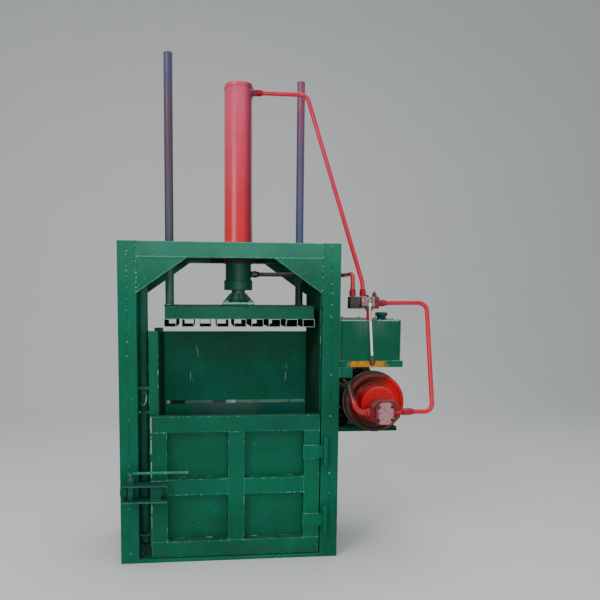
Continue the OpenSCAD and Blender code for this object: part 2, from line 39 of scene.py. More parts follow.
def S(r, g, b):
    """8-bit display colour to a linear one."""
    def c(v):
        v /= 255.0
        return v / 12.92 if v <= 0.04045 else ((v + 0.055) / 1.055) ** 2.4
    return (c(r), c(g), c(b), 1.0)


def mul(c, k):
    return (min(c[0] * k, 1), min(c[1] * k, 1), min(c[2] * k, 1), 1.0)


# ------------------------------------------------------------------ shader building
class Mat:
    def __init__(s, name):
        s.m = bpy.data.materials.new(name)
        s.m.use_nodes = True
        s.t = s.m.node_tree
        s.t.nodes.clear()
        s.out = s.t.nodes.new("ShaderNodeOutputMaterial")
        s.b = s.t.nodes.new("ShaderNodeBsdfPrincipled")
        s.t.links.new(s.b.outputs[0], s.out.inputs[0])
        tc = s.t.nodes.new("ShaderNodeTexCoord")
        s.P = tc.outputs["Object"]
        geo = s.t.nodes.new("ShaderNodeNewGeometry")
        s.N = geo.outputs["Normal"]
        sep = s.t.nodes.new("ShaderNodeSeparateXYZ")
        s.t.links.new(s.P, sep.inputs[0])
        s.x, s.y, s.z = sep.outputs[0], sep.outputs[1], sep.outputs[2]
        sn = s.t.nodes.new("ShaderNodeSeparateXYZ")
        s.t.links.new(s.N, sn.inputs[0])
        s.nx, s.ny, s.nz = sn.outputs[0], sn.outputs[1], sn.outputs[2]

    def put(s, sock, val):
        if isinstance(val, bpy.types.NodeSocket):
            s.t.links.new(val, sock)
        else:
            sock.default_value = val

    def math(s, op, a, b=0.0, c=0.0, clamp=False):
        n = s.t.nodes.new("ShaderNodeMath")
        n.operation = op
        n.use_clamp = clamp
        s.put(n.inputs[0], a)
        s.put(n.inputs[1], b)
        s.put(n.inputs[2], c)
        return n.outputs[0]

    def mr(s, v, a, b, lo=0.0, hi=1.0):
        n = s.t.nodes.new("ShaderNodeMapRange")
        n.clamp = True
        s.put(n.inputs[0], v)
        for i, q in enumerate((a, b, lo, hi)):
            s.put(n.inputs[i + 1], q)
        return n.outputs[0]

    def warp(s, scale=(1, 1, 1), rot=(0, 0, 0), loc=(0, 0, 0)):
        n = s.t.nodes.new("ShaderNodeMapping")
        n.inputs["Location"].default_value = loc
        n.inputs["Rotation"].default_value = rot
        n.inputs["Scale"].default_value = scale
        s.t.links.new(s.P, n.inputs[0])
        return n.outputs[0]

    def noise(s, scale, detail=3.0, rough=0.55, vec=None, dist=0.0, loc=None):
        n = s.t.nodes.new("ShaderNodeTexNoise")
        if loc is not None and vec is None:
            vec = s.warp(loc=loc)
        s.t.links.new(vec if vec is not None else s.P, n.inputs["Vector"])
        n.inputs["Scale"].default_value = scale
        n.inputs["Detail"].default_value = detail
        n.inputs["Roughness"].default_value = rough
        n.inputs["Distortion"].default_value = dist
        return n.outputs[0]

    def voro(s, scale, feature="F1", rand=1.0, vec=None):
        n = s.t.nodes.new("ShaderNodeTexVoronoi")
        n.feature = feature
        s.t.links.new(vec if vec is not None else s.P, n.inputs["Vector"])
        n.inputs["Scale"].default_value = scale
        n.inputs["Randomness"].default_value = rand
        return n.outputs[0]

    def mix(s, fac, a, b, mode="MIX"):
        n = s.t.nodes.new("ShaderNodeMix")
        n.data_type = "RGBA"
        n.blend_type = mode
        n.clamp_factor = True
        s.put(n.inputs[0], fac)
        s.put(n.inputs[6], a)
        s.put(n.inputs[7], b)
        return n.outputs[2]

    def ramp(s, fac, stops):
        n = s.t.nodes.new("ShaderNodeValToRGB")
        e = n.color_ramp.elements
        while len(e) < len(stops):
            e.new(0.5)
        for i, (p, c) in enumerate(stops):
            e[i].position = p
            e[i].color = c
        s.put(n.inputs[0], fac)
        return n.outputs[0]

    def bump(s, h, strength=1.0, dist=0.001, normal=None):
        n = s.t.nodes.new("ShaderNodeBump")
        n.inputs["Strength"].default_value = strength
        n.inputs["Distance"].default_value = dist
        s.put(n.inputs["Height"], h)
        if normal is not None:
            s.t.links.new(normal, n.inputs["Normal"])
        return n.outputs[0]

    def finish(s, color, rough, normal=None, metal=0.0, coat=0.0, coat_rough=0.1, spec=0.5):
        s.put(s.b.inputs["Base Color"], color)
        s.put(s.b.inputs["Roughness"], rough)
        s.put(s.b.inputs["Metallic"], metal)
        s.b.inputs["Specular IOR Level"].default_value = spec
        if coat:
            s.b.inputs["Coat Weight"].default_value = coat
            s.b.inputs["Coat Roughness"].default_value = coat_rough
        if normal is not None:
            s.t.links.new(normal, s.b.inputs["Normal"])
        return s.m


def band(m, v, a, b, soft):
    """1 between a and b, falling to 0 over soft."""
    return m.math("MULTIPLY", m.mr(v, a - soft, a, 0, 1), m.mr(v, b, b + soft, 1, 0))


DUST = S(150, 138, 118)
GREEN = S(2, 103, 74)


def enamel(name, base, sky_sheen=0.0, sky_sheen_z=(1.0, 1.6), dust=0.16, chips=0.35, edge=0.0, grime=0.35, foot=0.0,
           blotch=1.0, rough=0.42, scratch=0.25, extra=None, spatter=0.0, spec=0.10, shade=None):
    """Brushed machine enamel over welded steel."""
    m = Mat(name)
    big = m.noise(2.3, 3, 0.6, loc=(3.1, 1.7, 0.4))
    mid = m.noise(13.0, 4, 0.62, loc=(0.3, 5.2, 1.9))
    fine = m.noise(75.0, 3, 0.6)
    streak = m.noise(1.0, 4, 0.6, vec=m.warp(scale=(46, 46, 2.6)))
    brush = m.noise(1.0, 3, 0.6, vec=m.warp(scale=(9, 9, 160)))
    # slow change of depth and hue
    a = m.mix(m.mr(big, 0.33, 0.68), mul(base, 0.74), mul(base, 1.2))
    bluish = (base[0] * 0.8, base[1] * 0.88, base[2] * 1.35, 1)
    yellow = (base[0] * 1.9 + 0.004, base[1] * 1.02, base[2] * 0.78, 1)
    a = m.mix(m.math("MULTIPLY", m.mr(mid, 0.45, 0.75), 0.45 * blotch), a, bluish)
    a = m.mix(m.math("MULTIPLY", m.mr(mid, 0.5, 0.25), 0.30 * blotch), a, yellow)
    a = m.mix(m.math("MULTIPLY", m.mr(streak, 0.52, 0.8), 0.30), a, mul(base, 0.5))
    a = m.mix(m.math("MULTIPLY", m.mr(streak, 0.42, 0.2), 0.22), a, mul(base, 1.55))
    a = m.mix(m.math("MULTIPLY", m.mr(brush, 0.6, 0.85), 0.12), a, mul(base, 1.5))
    # painted sheen: a pale sky-coloured haze mixed in towards the top, standing in for reflected sky light
    if sky_sheen:
        f = m.math("MULTIPLY", m.mr(m.z, sky_sheen_z[0], sky_sheen_z[1], 0, 1), m.mr(big, 0.2, 0.8, sky_sheen * 0.7, sky_sheen * 1.15))
        a = m.mix(f, a, S(98, 160, 146))
    if grime:
        g = m.math("MULTIPLY", m.mr(m.noise(5.5, 6, 0.68, loc=(7, 2, 9)), 0.52, 0.78), grime)
        a = m.mix(g, a, mul(base, 0.32))
    # thin dry dust, most on what faces up
    up = m.mr(m.nz, 0.35, 0.95, 0.05, 1.0)
    d = m.math("MULTIPLY", m.math("MULTIPLY", up, m.mr(m.noise(8.0, 5, 0.65, loc=(1, 8, 3)), 0.3, 0.75)), dust)
    a = m.mix(d, a, DUST)
    if foot:
        f = m.math("MULTIPLY", m.mr(m.z, 0.0, 0.30, 1.0, 0.0), m.mr(m.noise(17.0, 6, 0.7), 0.35, 0.7))
        a = m.mix(m.math("MULTIPLY", f, foot), a, S(96, 88, 70))
    if shade:
        # painted shade on faces set back under the head
        y0, y1, amount = shade
        a = m.mix(m.math("MULTIPLY", m.mr(m.y, y0, y1), amount), a, mul(base, 0.22))
    height = m.math("MULTIPLY", m.noise(420.0, 2, 0.5), 0.16)
    height = m.math("ADD", height, m.math("MULTIPLY", mid, 0.35))
    height = m.math("ADD", height, m.math("MULTIPLY", brush, 0.18))
    rr = m.math("ADD", m.mr(fine, 0.3, 0.7, rough - 0.07, rough + 0.10), m.math("MULTIPLY", d, 0.35))
    if chips:
        where = m.mr(m.noise(7.0, 3, 0.6, loc=(4, 4, 1)), 0.47, 0.62)
        c = m.math("MULTIPLY", m.mr(m.noise(118.0, 2, 0.55, loc=(2, 0, 6)), 0.70 - 0.05 * chips, 0.73 - 0.05 * chips), where)
        a = m.mix(c, a, m.mix(m.mr(mid, 0.45, 0.55), S(128, 178, 160), S(70, 84, 78)))
        height = m.math("SUBTRACT", height, m.math("MULTIPLY", c, 0.5))
    if spatter:
        v = m.voro(64.0)
        dots = m.math("MULTIPLY", m.mr(v, 0.15, 0.20, 1, 0), m.mr(m.noise(4.0, 3, 0.6, loc=(9, 1, 2)), 0.48, 0.6))
        a = m.mix(m.math("MULTIPLY", dots, spatter), a, S(96, 170, 146))
        height = m.math("ADD", height, m.math("MULTIPLY", dots, 1.2))
    if scratch:
        s1 = m.noise(1.0, 2, 0.5, vec=m.warp(scale=(420, 420, 11), rot=(0.10, 0.16, 0)))
        s2 = m.noise(1.0, 2, 0.5, vec=m.warp(scale=(12, 300, 420), rot=(0.0, 0.22, 0.1)))
        sm = m.math("MULTIPLY", m.math("MAXIMUM", m.mr(s1, 0.735, 0.76), m.mr(s2, 0.735, 0.76)), m.mr(m.noise(3.7, 2, 0.5, loc=(5, 5, 5)), 0.5, 0.62))
        a = m.mix(m.math("MULTIPLY", sm, scratch), a, S(150, 186, 172))
    if edge:
        e = m.mr(m.noise(34.0, 5, 0.7, loc=(3, 3, 8)), 0.56 - 0.22 * edge, 0.66 - 0.16 * edge)
        a = m.mix(m.math("MULTIPLY", e, 0.8), a, m.mix(m.mr(fine, 0.55, 0.62), S(108, 172, 150), S(146, 150, 140)))
    if extra:
        a, rr, height = extra(m, a, rr, height)
    n = m.bump(height, 0.55, 0.0011)
    return m.finish(a, rr, n, spec=spec)


def chamber_extra(m, a, rr, h):
    """Walls rubbed by waste: dark mottling, pale vertical rub marks."""
    soot = m.mr(m.noise(3.2, 6, 0.7, loc=(2, 6, 1)), 0.40, 0.72)
    a = m.mix(m.math("MULTIPLY", soot, 0.4), a, S(20, 62, 54))
    high = m.math("MULTIPLY", m.mr(m.z, 0.93, 1.10), m.mr(m.noise(2.2, 5, 0.65, loc=(5, 6, 1)), 0.3, 0.6))
    a = m.mix(m.math("MULTIPLY", high, 0.55), a, S(34, 52, 44))
    rub = m.noise(1.0, 4, 0.6, vec=m.warp(scale=(30, 30, 3.2), loc=(3, 0, 2)))
    a = m.mix(m.math("MULTIPLY", m.mr(rub, 0.60, 0.82), 0.22), a, S(70, 110, 98))
    teal = band(m, m.z, 0.80, 0.86, 0.06)
    a = m.mix(m.math("MULTIPLY", teal, m.mr(m.noise(4.0, 4, 0.6, loc=(0, 2, 2)), 0.35, 0.65, 0, 0.5)), a, S(0, 84, 72))
    # two bright scores at mid height
    for x0 in (-0.256, 0.284):
        w = m.math("ADD", m.x, m.math("MULTIPLY", m.noise(30.0, 2, 0.5), 0.006))
        mark = m.math("MULTIPLY", band(m, w, x0 + 0.0015, x0 + 0.0045, 0.0012), band(m, m.z, 0.860, 0.886, 0.014))
        a = m.mix(m.math("MULTIPLY", mark, 0.8), a, S(150, 196, 176))
    for x0, z0, z1, k in ((0.289, 0.915, 0.935, 0.5), (-0.213, 0.985, 1.040, 0.6), (-0.243, 0.845, 0.850, 0.4), (0.276, 0.846, 0.851, 0.4)):
        w = m.math("ADD", m.x, m.math("MULTIPLY", m.math("SUBTRACT", m.z, z0), 0.16))
        mark = m.math("MULTIPLY", band(m, w, x0, x0 + 0.003, 0.0015), band(m, m.z, z0, z1, 0.008))
        a = m.mix(m.math("MULTIPLY", mark, k), a, S(140, 176, 160))
    return a, rr, h


def liner_extra(m, a, rr, h):
    """Lower rear sheet polished by bales; worn ledge on top, its pale line lightened further as a painted highlight,
    with painted glints and the painted shade of a hole.
    """
    worn = m.math("MULTIPLY", m.mr(m.noise(2.6, 5, 0.65, loc=(1, 1, 7)), 0.25, 0.55), band(m, m.x, -0.20, 0.10, 0.10))
    a = m.mix(m.math("MULTIPLY", worn, 0.80), a, m.mix(m.mr(m.noise(9.0, 4, 0.6), 0.4, 0.6), S(70, 96, 98), S(88, 90, 96)))
    a = m.mix(m.math("MULTIPLY", band(m, m.x, 0.14, 0.34, 0.06), 0.5), a, S(10, 84, 82))
    wavy = m.math("ADD", m.z, m.math("MULTIPLY", m.math("SUBTRACT", m.noise(16.0, 3, 0.6), 0.5), 0.010))
    # pale top line of the ledge: worn, and lightened further as a painted highlight
    top = m.mr(wavy, 0.7165, 0.7235)
    gap = m.mr(m.noise(1.0, 4, 0.6, vec=m.warp(scale=(16, 16, 0.1), loc=(0.6, 0, 0))), 0.34, 0.46, 0.35, 1.0)
    right = m.mr(m.x, -0.30, 0.10, 0.45, 1.0)
    a = m.mix(m.math("MULTIPLY", m.math("MULTIPLY", top, right), m.math("MULTIPLY", gap, 0.80)), a, S(112, 146, 134))
    # painted shade of a hole in the ledge
    hole_shade = m.math("MULTIPLY", band(m, m.x, -0.365, -0.290, 0.006), m.mr(m.z, 0.714, 0.719))
    a = m.mix(m.math("MULTIPLY", hole_shade, 0.9), a, S(6, 22, 18))
    # painted glints along the ledge
    dash = m.mr(m.noise(1.0, 3, 0.6, vec=m.warp(scale=(90, 1, 30))), 0.42, 0.52)
    glint = m.math("MULTIPLY", m.math("MAXIMUM", band(m, m.x, -0.385, -0.372, 0.003), m.math("MULTIPLY", band(m, m.x, -0.050, 0.004, 0.006), dash)), top)
    gapx = band(m, m.x, -0.128, -0.062, 0.010)
    a = m.mix(m.math("MULTIPLY", m.math("MULTIPLY", gapx, top), 0.8), a, S(30, 66, 60))
    a = m.mix(m.math("MULTIPLY", glint, 0.7), a, S(196, 214, 206))
    return a, rr, h


def column_extra(m, a, rr, h):
    """The right columns stand in the shade of the tank and the power unit."""
    shade = m.math("MULTIPLY", m.mr(m.x, 0.38, 0.42), m.mr(m.z, 1.50, 1.15))
    a = m.mix(m.math("MULTIPLY", shade, 0.36), a, mul(GREEN, 0.30))
    teal = m.math("MULTIPLY", m.mr(m.z, 0.75, 0.35), m.mr(m.x, -0.40, -0.44))
    a = m.mix(m.math("MULTIPLY", teal, 0.35), a, S(0, 84, 70))
    return a, rr, h


def door_extra(m, a, rr, h):
    """Pale rubbed strip down the latch side of the door, darker mottling along its bottom."""
    wav = m.math("ADD", m.x, m.math("MULTIPLY", m.math("SUBTRACT", m.noise(60.0, 3, 0.6), 0.5), 0.006))
    strip = m.math("MULTIPLY", m.mr(wav, -0.4325, -0.4360), m.mr(m.noise(1.0, 4, 0.7, vec=m.warp(scale=(1, 1, 11))), 0.40, 0.47))
    strip = m.math("MULTIPLY", strip, m.mr(m.y, -0.2275, -0.2300))
    for z0, z1 in ((0.515, 0.545), (0.395, 0.425), (0.300, 0.335)):
        strip = m.math("MULTIPLY", strip, m.math("SUBTRACT", 1.0, band(m, m.z, z0, z1, 0.012)))
    a = m.mix(m.math("MULTIPLY", strip, m.mr(m.z, 0.16, 0.3, 0.05, 0.9)), a, S(150, 168, 158))
    low = m.math("MULTIPLY", m.mr(m.z, 0.10, 0.03), m.mr(m.noise(9.0, 5, 0.7, loc=(0, 3, 3)), 0.4, 0.65))
    a = m.mix(m.math("MULTIPLY", low, 0.5), a, S(30, 54, 46))
    # corroded patch low on the right
    rust = m.math("MULTIPLY", band(m, m.x, 0.10, 0.15, 0.05), band(m, m.z, 0.045, 0.07, 0.03))
    rust = m.math("MULTIPLY", rust, m.mr(m.noise(42.0, 5, 0.7), 0.50, 0.60))
    a = m.mix(m.math("MULTIPLY", rust, 0.45), a, S(44, 52, 36))
    return a, rr, h


def bracket_extra(m, a, rr, h):
    """Front tank angle: a worn yellow band with feathered ends."""
    wob = m.math("MULTIPLY", m.math("SUBTRACT", m.noise(34.0, 6, 0.75), 0.5), 0.12)
    xx = m.math("ADD", m.x, wob)
    mask = m.math("MULTIPLY", band(m, xx, 0.570, 0.724, 0.030), m.mr(m.y, -0.20, -0.21))
    mask = m.math("MULTIPLY", mask, m.mr(m.z, 0.969, 0.973))
    worn = m.mr(m.noise(90.0, 5, 0.7, loc=(1, 2, 3)), 0.30, 0.44)
    tone = m.mix(m.mr(m.noise(18.0, 4, 0.6), 0.4, 0.65), S(222, 150, 8), S(186, 108, 6))
    a = m.mix(m.math("MULTIPLY", mask, worn), a, tone)
    return a, rr, h


def lid_extra(m, a, rr, h):
    """Tank lid: bare bright front edge in two lengths, dusty top."""
    front = m.math("MULTIPLY", m.mr(m.y, -0.2155, -0.2165), m.mr(m.z, 1.2005, 1.2015))
    part = m.math("MAXIMUM", band(m, m.x, 0.49, 0.636, 0.010), band(m, m.x, 0.690, 0.79, 0.012))
    a = m.mix(m.math("MULTIPLY", m.math("MULTIPLY", front, part), m.mr(m.noise(40.0, 5, 0.7), 0.30, 0.5)), a, S(150, 186, 170))
    oil = m.math("MULTIPLY", band(m, m.x, 0.60, 0.70, 0.04), m.mr(m.nz, 0.5, 0.9))
    a = m.mix(m.math("MULTIPLY", oil, 0.7), a, S(28, 44, 36))
    return a, rr, h


def tank_extra(m, a, rr, h):
    """Thin oil below the valve and the filler, dried runs on the front."""
    run = m.noise(1.0, 4, 0.6, vec=m.warp(scale=(34, 34, 1.6), loc=(2, 2, 0)))
    wet = m.math("MULTIPLY", m.mr(run, 0.50, 0.68), m.mr(m.z, 1.02, 1.19, 0.1, 0.7))
    a = m.mix(wet, a, S(10, 56, 46))
    rr = m.math("SUBTRACT", rr, m.math("MULTIPLY", wet, 0.14))
    dusty = m.math("MULTIPLY", band(m, m.x, 0.60, 0.70, 0.05), m.mr(m.z, 1.1, 1.2))
    a = m.mix(m.math("MULTIPLY", dusty, 0.35), a, S(96, 118, 112))
    return a, rr, h


def platen_extra(m, a, rr, h):
    """Dark upper edge, painted as the shade under the top plate's overhang, darker mottling below it, paler lower edge.
    """
    front = m.math("MAXIMUM", m.mr(m.y, -0.170, -0.176), m.mr(m.y, 0.170, 0.176))
    soot = m.math("MULTIPLY", m.mr(m.z, 1.245, 1.272), m.mr(m.noise(14.0, 5, 0.66, loc=(8, 8, 1)), 0.3, 0.65))
    a = m.mix(m.math("MULTIPLY", soot, 0.35), a, S(40, 66, 58))
    # painted shade: the top plate's front edge darkened to stand for the shadow line under its overhang
    a = m.mix(m.math("MULTIPLY", m.math("MULTIPLY", m.mr(m.z, 1.2685, 1.2698), front), 0.85), a, S(2, 40, 30))
    a = m.mix(m.math("MULTIPLY", m.mr(m.z, 1.2125, 1.2085), 0.35), a, S(90, 150, 128))
    oil = m.math("MULTIPLY", m.mr(m.noise(6.0, 5, 0.66, loc=(8, 1, 1)), 0.5, 0.7), m.mr(m.nz, 0.5, 0.9))
    a = m.mix(m.math("MULTIPLY", oil, 0.6), a, S(12, 30, 26))
    return a, rr, h


def tube_extra(m, a, rr, h):
    """Strap channels: edges rubbed pale grey-green, painted shade inside."""
    front = m.math("MAXIMUM", m.mr(m.y, -0.1795, -0.1815), m.mr(m.y, 0.1795, 0.1815))
    a = m.mix(m.math("MULTIPLY", front, m.mr(m.noise(60.0, 4, 0.7), 0.26, 0.48)), a, S(146, 172, 158))
    # painted shade inside the channels
    channel_shade = m.math("MULTIPLY", m.mr(m.y, -0.1795, -0.172), m.mr(m.y, 0.1795, 0.172))
    a = m.mix(m.math("MULTIPLY", channel_shade, 0.85), a, S(4, 20, 15))
    rr = m.math("MAXIMUM", rr, m.math("MULTIPLY", channel_shade, 0.85))
    return a, rr, h


def oil_extra(m, a, rr, h):
    """Oil and soot round the gland and the rod end, with a painted highlight on the rod flange's upper edge and down
    the front middle.
    """
    dark = m.mr(m.noise(9.0, 5, 0.66, loc=(5, 0, 2)), 0.38, 0.66)
    a = m.mix(m.math("MULTIPLY", dark, 0.65), a, S(12, 48, 38))
    # painted highlight along the rod flange's upper edge
    pale = m.math("MULTIPLY", m.mr(m.z, 1.2901, 1.2888), m.mr(m.z, 1.2785, 1.2815))
    a = m.mix(m.math("MULTIPLY", pale, m.mr(m.noise(30.0, 4, 0.7), 0.30, 0.44)), a, S(140, 196, 174))
    # painted highlight down the front middle
    lit = m.math("MULTIPLY", band(m, m.x, -0.012, 0.012, 0.022), m.mr(m.y, 0.0, -0.02))
    a = m.mix(m.math("MULTIPLY", lit, m.mr(m.z, 1.34, 1.36, 0.12, 0.35)), a, S(54, 100, 88))
    return a, m.math("SUBTRACT", rr, m.math("MULTIPLY", dark, 0.10)), h


def cavity_extra(m, a, rr, h):
    a = m.mix(m.math("MULTIPLY", m.mr(m.noise(4.0, 4, 0.6), 0.3, 0.7), 0.6), a, S(10, 40, 34))
    return a, rr, h


def red_gloss(name, base, fade=None, rough=0.30, dirt=0.3, metal_chips=0.4, oily=0.0, extra=None, coat=0.25, spec=0.35):
    """Sprayed gloss enamel over pipe or casting."""
    m = Mat(name)
    big = m.noise(3.0, 3, 0.55, loc=(6, 1, 2))
    mid = m.noise(22.0, 4, 0.6, loc=(1, 9, 4))
    fine = m.noise(110.0, 3, 0.6)
    a = m.mix(m.mr(big, 0.3, 0.7), mul(base, 0.80), mul(base, 1.14))
    a = m.mix(m.math("MULTIPLY", m.mr(mid, 0.5, 0.75), 0.35), a, mul(base, 0.62))
    if fade:
        z0, z1, col, amount = fade
        a = m.mix(m.math("MULTIPLY", m.mr(m.z, z0, z1), m.mr(big, 0.25, 0.75, amount * 0.75, amount)), a, col)
    streak = m.noise(1.0, 4, 0.6, vec=m.warp(scale=(60, 60, 3.0)))
    a = m.mix(m.math("MULTIPLY", m.mr(streak, 0.55, 0.8), 0.30), a, mul(base, 0.5))
    g = m.math("MULTIPLY", m.mr(m.noise(15.0, 6, 0.7, loc=(2, 2, 9)), 0.55, 0.75), dirt)
    a = m.mix(g, a, S(58, 22, 18))
    up = m.math("MULTIPLY", m.mr(m.nz, 0.4, 0.95), m.mr(m.noise(11.0, 5, 0.65), 0.3, 0.7))
    a = m.mix(m.math("MULTIPLY", up, 0.30), a, S(186, 150, 140))
    c = m.math("MULTIPLY", m.mr(m.noise(140.0, 2, 0.55, loc=(8, 2, 1)), 0.70, 0.73), metal_chips)
    a = m.mix(c, a, S(70, 52, 48))
    rr = m.mr(fine, 0.3, 0.7, rough - 0.06, rough + 0.12)
    if oily:
        rr = m.math("SUBTRACT", rr, m.math("MULTIPLY", m.mr(mid, 0.5, 0.7), oily))
    height = m.math("ADD", m.math("MULTIPLY", m.noise(300.0, 2, 0.5), 0.10), m.math("MULTIPLY", mid, 0.5))
    if extra:
        a, rr, height = extra(m, a, rr, height)
    n = m.bump(height, 0.5, 0.0008)
    return m.finish(a, rr, n, 0.0, coat, 0.12, spec)


def latch_extra(m, a, rr, h):
    """Bar bright green, the shaft below it darker."""
    shaft = m.math("MAXIMUM", m.mr(m.z, 0.4565, 0.4545), m.math("MULTIPLY", m.mr(m.x, -0.5195, -0.5215), 0.75))
    a = m.mix(m.math("MULTIPLY", shaft, 0.75), a, m.mix(m.mr(m.noise(40.0, 5, 0.7), 0.4, 0.6), S(4, 62, 48), S(26, 72, 62)))
    a = m.mix(m.math("MULTIPLY", m.math("SUBTRACT", 1.0, shaft), 0.65), a, S(44, 124, 106))
    return a, rr, h


def plate_extra(m, a, rr, h):
    """Latch plates: grimy teal, thin front edge lightened as a painted highlight."""
    a = m.mix(m.mr(m.noise(22.0, 5, 0.66, loc=(2, 2, 4)), 0.38, 0.66, 0.1, 0.6), a, S(22, 66, 66))
    # painted highlight along the front edge
    edge = m.math("MULTIPLY", m.mr(m.y, -0.2995, -0.3015), m.mr(m.noise(50.0, 4, 0.7), 0.36, 0.5))
    a = m.mix(m.math("MULTIPLY", edge, 0.30), a, S(62, 114, 100))
    # brighter painted highlight on the lower plate's front edge
    low = m.math("MULTIPLY", m.mr(m.z, 0.3345, 0.3335), edge)
    a = m.mix(m.math("MULTIPLY", low, 0.2), a, S(90, 146, 126))
    return a, rr, h


def bell_extra(m, a, rr, h):
    """Bell housing: brown web, painted shade on the left of the web next to the column, dark flank, bright boss and
    rim.
    """
    dx = m.math("SUBTRACT", m.x, 0.667)
    dz = m.math("SUBTRACT", m.z, 0.798)
    r = m.math("SQRT", m.math("ADD", m.math("MULTIPLY", dx, dx), m.math("MULTIPLY", dz, dz)))
    web = m.math("MULTIPLY", m.mr(r, 0.086, 0.092), m.mr(r, 0.1275, 0.1225))
    left = m.mr(dx, 0.06, -0.06)
    top = m.math("MULTIPLY", m.mr(dz, 0.03, 0.10), m.mr(dx, 0.075, 0.03))
    brown = m.mix(m.mr(m.noise(30.0, 5, 0.7), 0.4, 0.6), S(104, 38, 22), S(86, 56, 34))
    a = m.mix(m.math("MULTIPLY", m.math("MULTIPLY", web, top), 0.85), a, brown)
    # painted shade on the left of the web, where the column crowds it
    a = m.mix(m.math("MULTIPLY", m.math("MULTIPLY", web, left), 0.80), a, S(44, 8, 8))
    flank = m.mr(m.y, -0.268, -0.258)
    flank = m.math("MULTIPLY", flank, m.mr(r, 0.139, 0.143))
    a = m.mix(m.math("MULTIPLY", flank, 0.92), a, m.mix(m.mr(m.noise(24.0, 5, 0.7), 0.42, 0.6), S(58, 44, 38), S(38, 42, 38)))
    # only the right third of the rim is clean red; brown above, green black below left
    edge = m.math("ADD", dx, m.math("MULTIPLY", m.math("SUBTRACT", m.noise(20.0, 4, 0.65), 0.5), 0.05))
    slant = m.math("ADD", edge, m.math("MULTIPLY", m.math("ABSOLUTE", dz), -0.35))
    rim = m.math("MULTIPLY", m.mr(r, 0.1235, 0.1275), m.mr(slant, 0.050, 0.012))
    tone = m.mix(m.mr(dz, -0.04, 0.05), S(40, 48, 38), S(84, 54, 48))
    tone = m.mix(m.mr(m.noise(40.0, 5, 0.7), 0.42, 0.62, 0, 0.6), tone, S(58, 38, 34))
    a = m.mix(m.math("MULTIPLY", rim, 0.94), a, tone)
    low = m.math("MULTIPLY", m.mr(r, 0.090, 0.095), m.math("MULTIPLY", m.mr(dz, -0.05, -0.09), m.mr(dx, 0.06, 0.02)))
    a = m.mix(m.math("MULTIPLY", low, 0.85), a, S(34, 34, 28))
    grey = m.math("MULTIPLY", m.mr(r, 0.086, 0.084), m.math("MULTIPLY", band(m, dx, -0.01, 0.03, 0.03), m.mr(dz, 0.045, 0.02)))
    a = m.mix(m.math("MULTIPLY", grey, 0.5), a, S(150, 92, 76))
    cast = m.math("MULTIPLY", m.noise(170.0, 4, 0.65), 0.9)
    return a, rr, m.math("ADD", h, cast)


def barrel_extra(m, a, rr, h):
    """Cylinder: paler pink high up, brighter orange red low down, faint spray bands."""
    low = m.mr(m.z, 1.95, 1.62)
    a = m.mix(m.math("MULTIPLY", low, 0.35), a, S(226, 44, 34))
    bands = m.noise(1.0, 2, 0.5, vec=m.warp(scale=(0.6, 0.6, 9.0)))
    a = m.mix(m.math("MULTIPLY", m.mr(bands, 0.45, 0.7), 0.25), a, S(158, 40, 56))
    # the end below the head carries the green of the frame, darkened to green-black as painted shade under the head
    under = m.mr(m.z, 1.5790, 1.5770)
    a = m.mix(m.math("MULTIPLY", under, 0.97), a, m.mix(m.mr(m.noise(24.0, 5, 0.7), 0.4, 0.65), S(2, 22, 16), S(6, 32, 25)))
    # painted shade down the right flank of the cylinder above the head
    right = m.math("MULTIPLY", m.mr(m.x, 0.022, 0.056), m.mr(m.z, 1.580, 1.585))
    a = m.mix(m.math("MULTIPLY", right, 0.82), a, S(104, 16, 50))
    return a, m.math("MAXIMUM", rr, m.math("MULTIPLY", under, 0.75)), h


def union_extra(m, a, rr, h):
    """Fittings below the head are as green-black as the pipe between them: partly green paint, partly painted shade
    under the head.
    """
    run = m.math("MULTIPLY", m.mr(m.x, 0.548, 0.540), m.mr(m.z, 1.55, 1.50))
    a = m.mix(m.math("MULTIPLY", run, 0.95), a, m.mix(m.mr(m.noise(34.0, 5, 0.7), 0.4, 0.65), S(10, 32, 28), S(24, 48, 42)))
    return a, m.math("MAXIMUM", rr, m.math("MULTIPLY", run, 0.7)), h


def pipe_low_extra(m, a, rr, h):
    """Lower line: green overspray on the run below the head, darkened to green-black as painted shade there; red from
    the bend on.
    """
    run = m.mr(m.math("ADD", m.x, m.math("MULTIPLY", m.math("SUBTRACT", m.noise(30.0, 4, 0.6), 0.5), 0.010)), 0.556, 0.546)
    a = m.mix(m.math("MULTIPLY", run, 0.95), a, m.mix(m.mr(m.noise(34.0, 5, 0.7), 0.4, 0.65), S(22, 44, 42), S(44, 66, 62)))
    low = m.mr(m.z, 1.40, 1.37)
    a = m.mix(m.math("MULTIPLY", low, 0.35), a, S(120, 14, 28))
    return a, m.math("MAXIMUM", rr, m.math("MULTIPLY", run, 0.5)), h


def pump_extra(m, a, rr, h):
    """Pump casting: painted shade on the faces that look down, red rubbed thin over the aluminium."""
    bare = m.mr(m.noise(26.0, 5, 0.68, loc=(3, 1, 1)), 0.50, 0.60)
    a = m.mix(m.math("MULTIPLY", bare, 0.55), a, S(96, 62, 62))
    # painted shade on the faces that look down
    a = m.mix(m.math("MULTIPLY", m.mr(m.nz, -0.2, -0.9), 0.7), a, S(40, 26, 24))
    return a, rr, m.math("ADD", h, m.math("MULTIPLY", m.noise(200.0, 4, 0.65), 0.8))


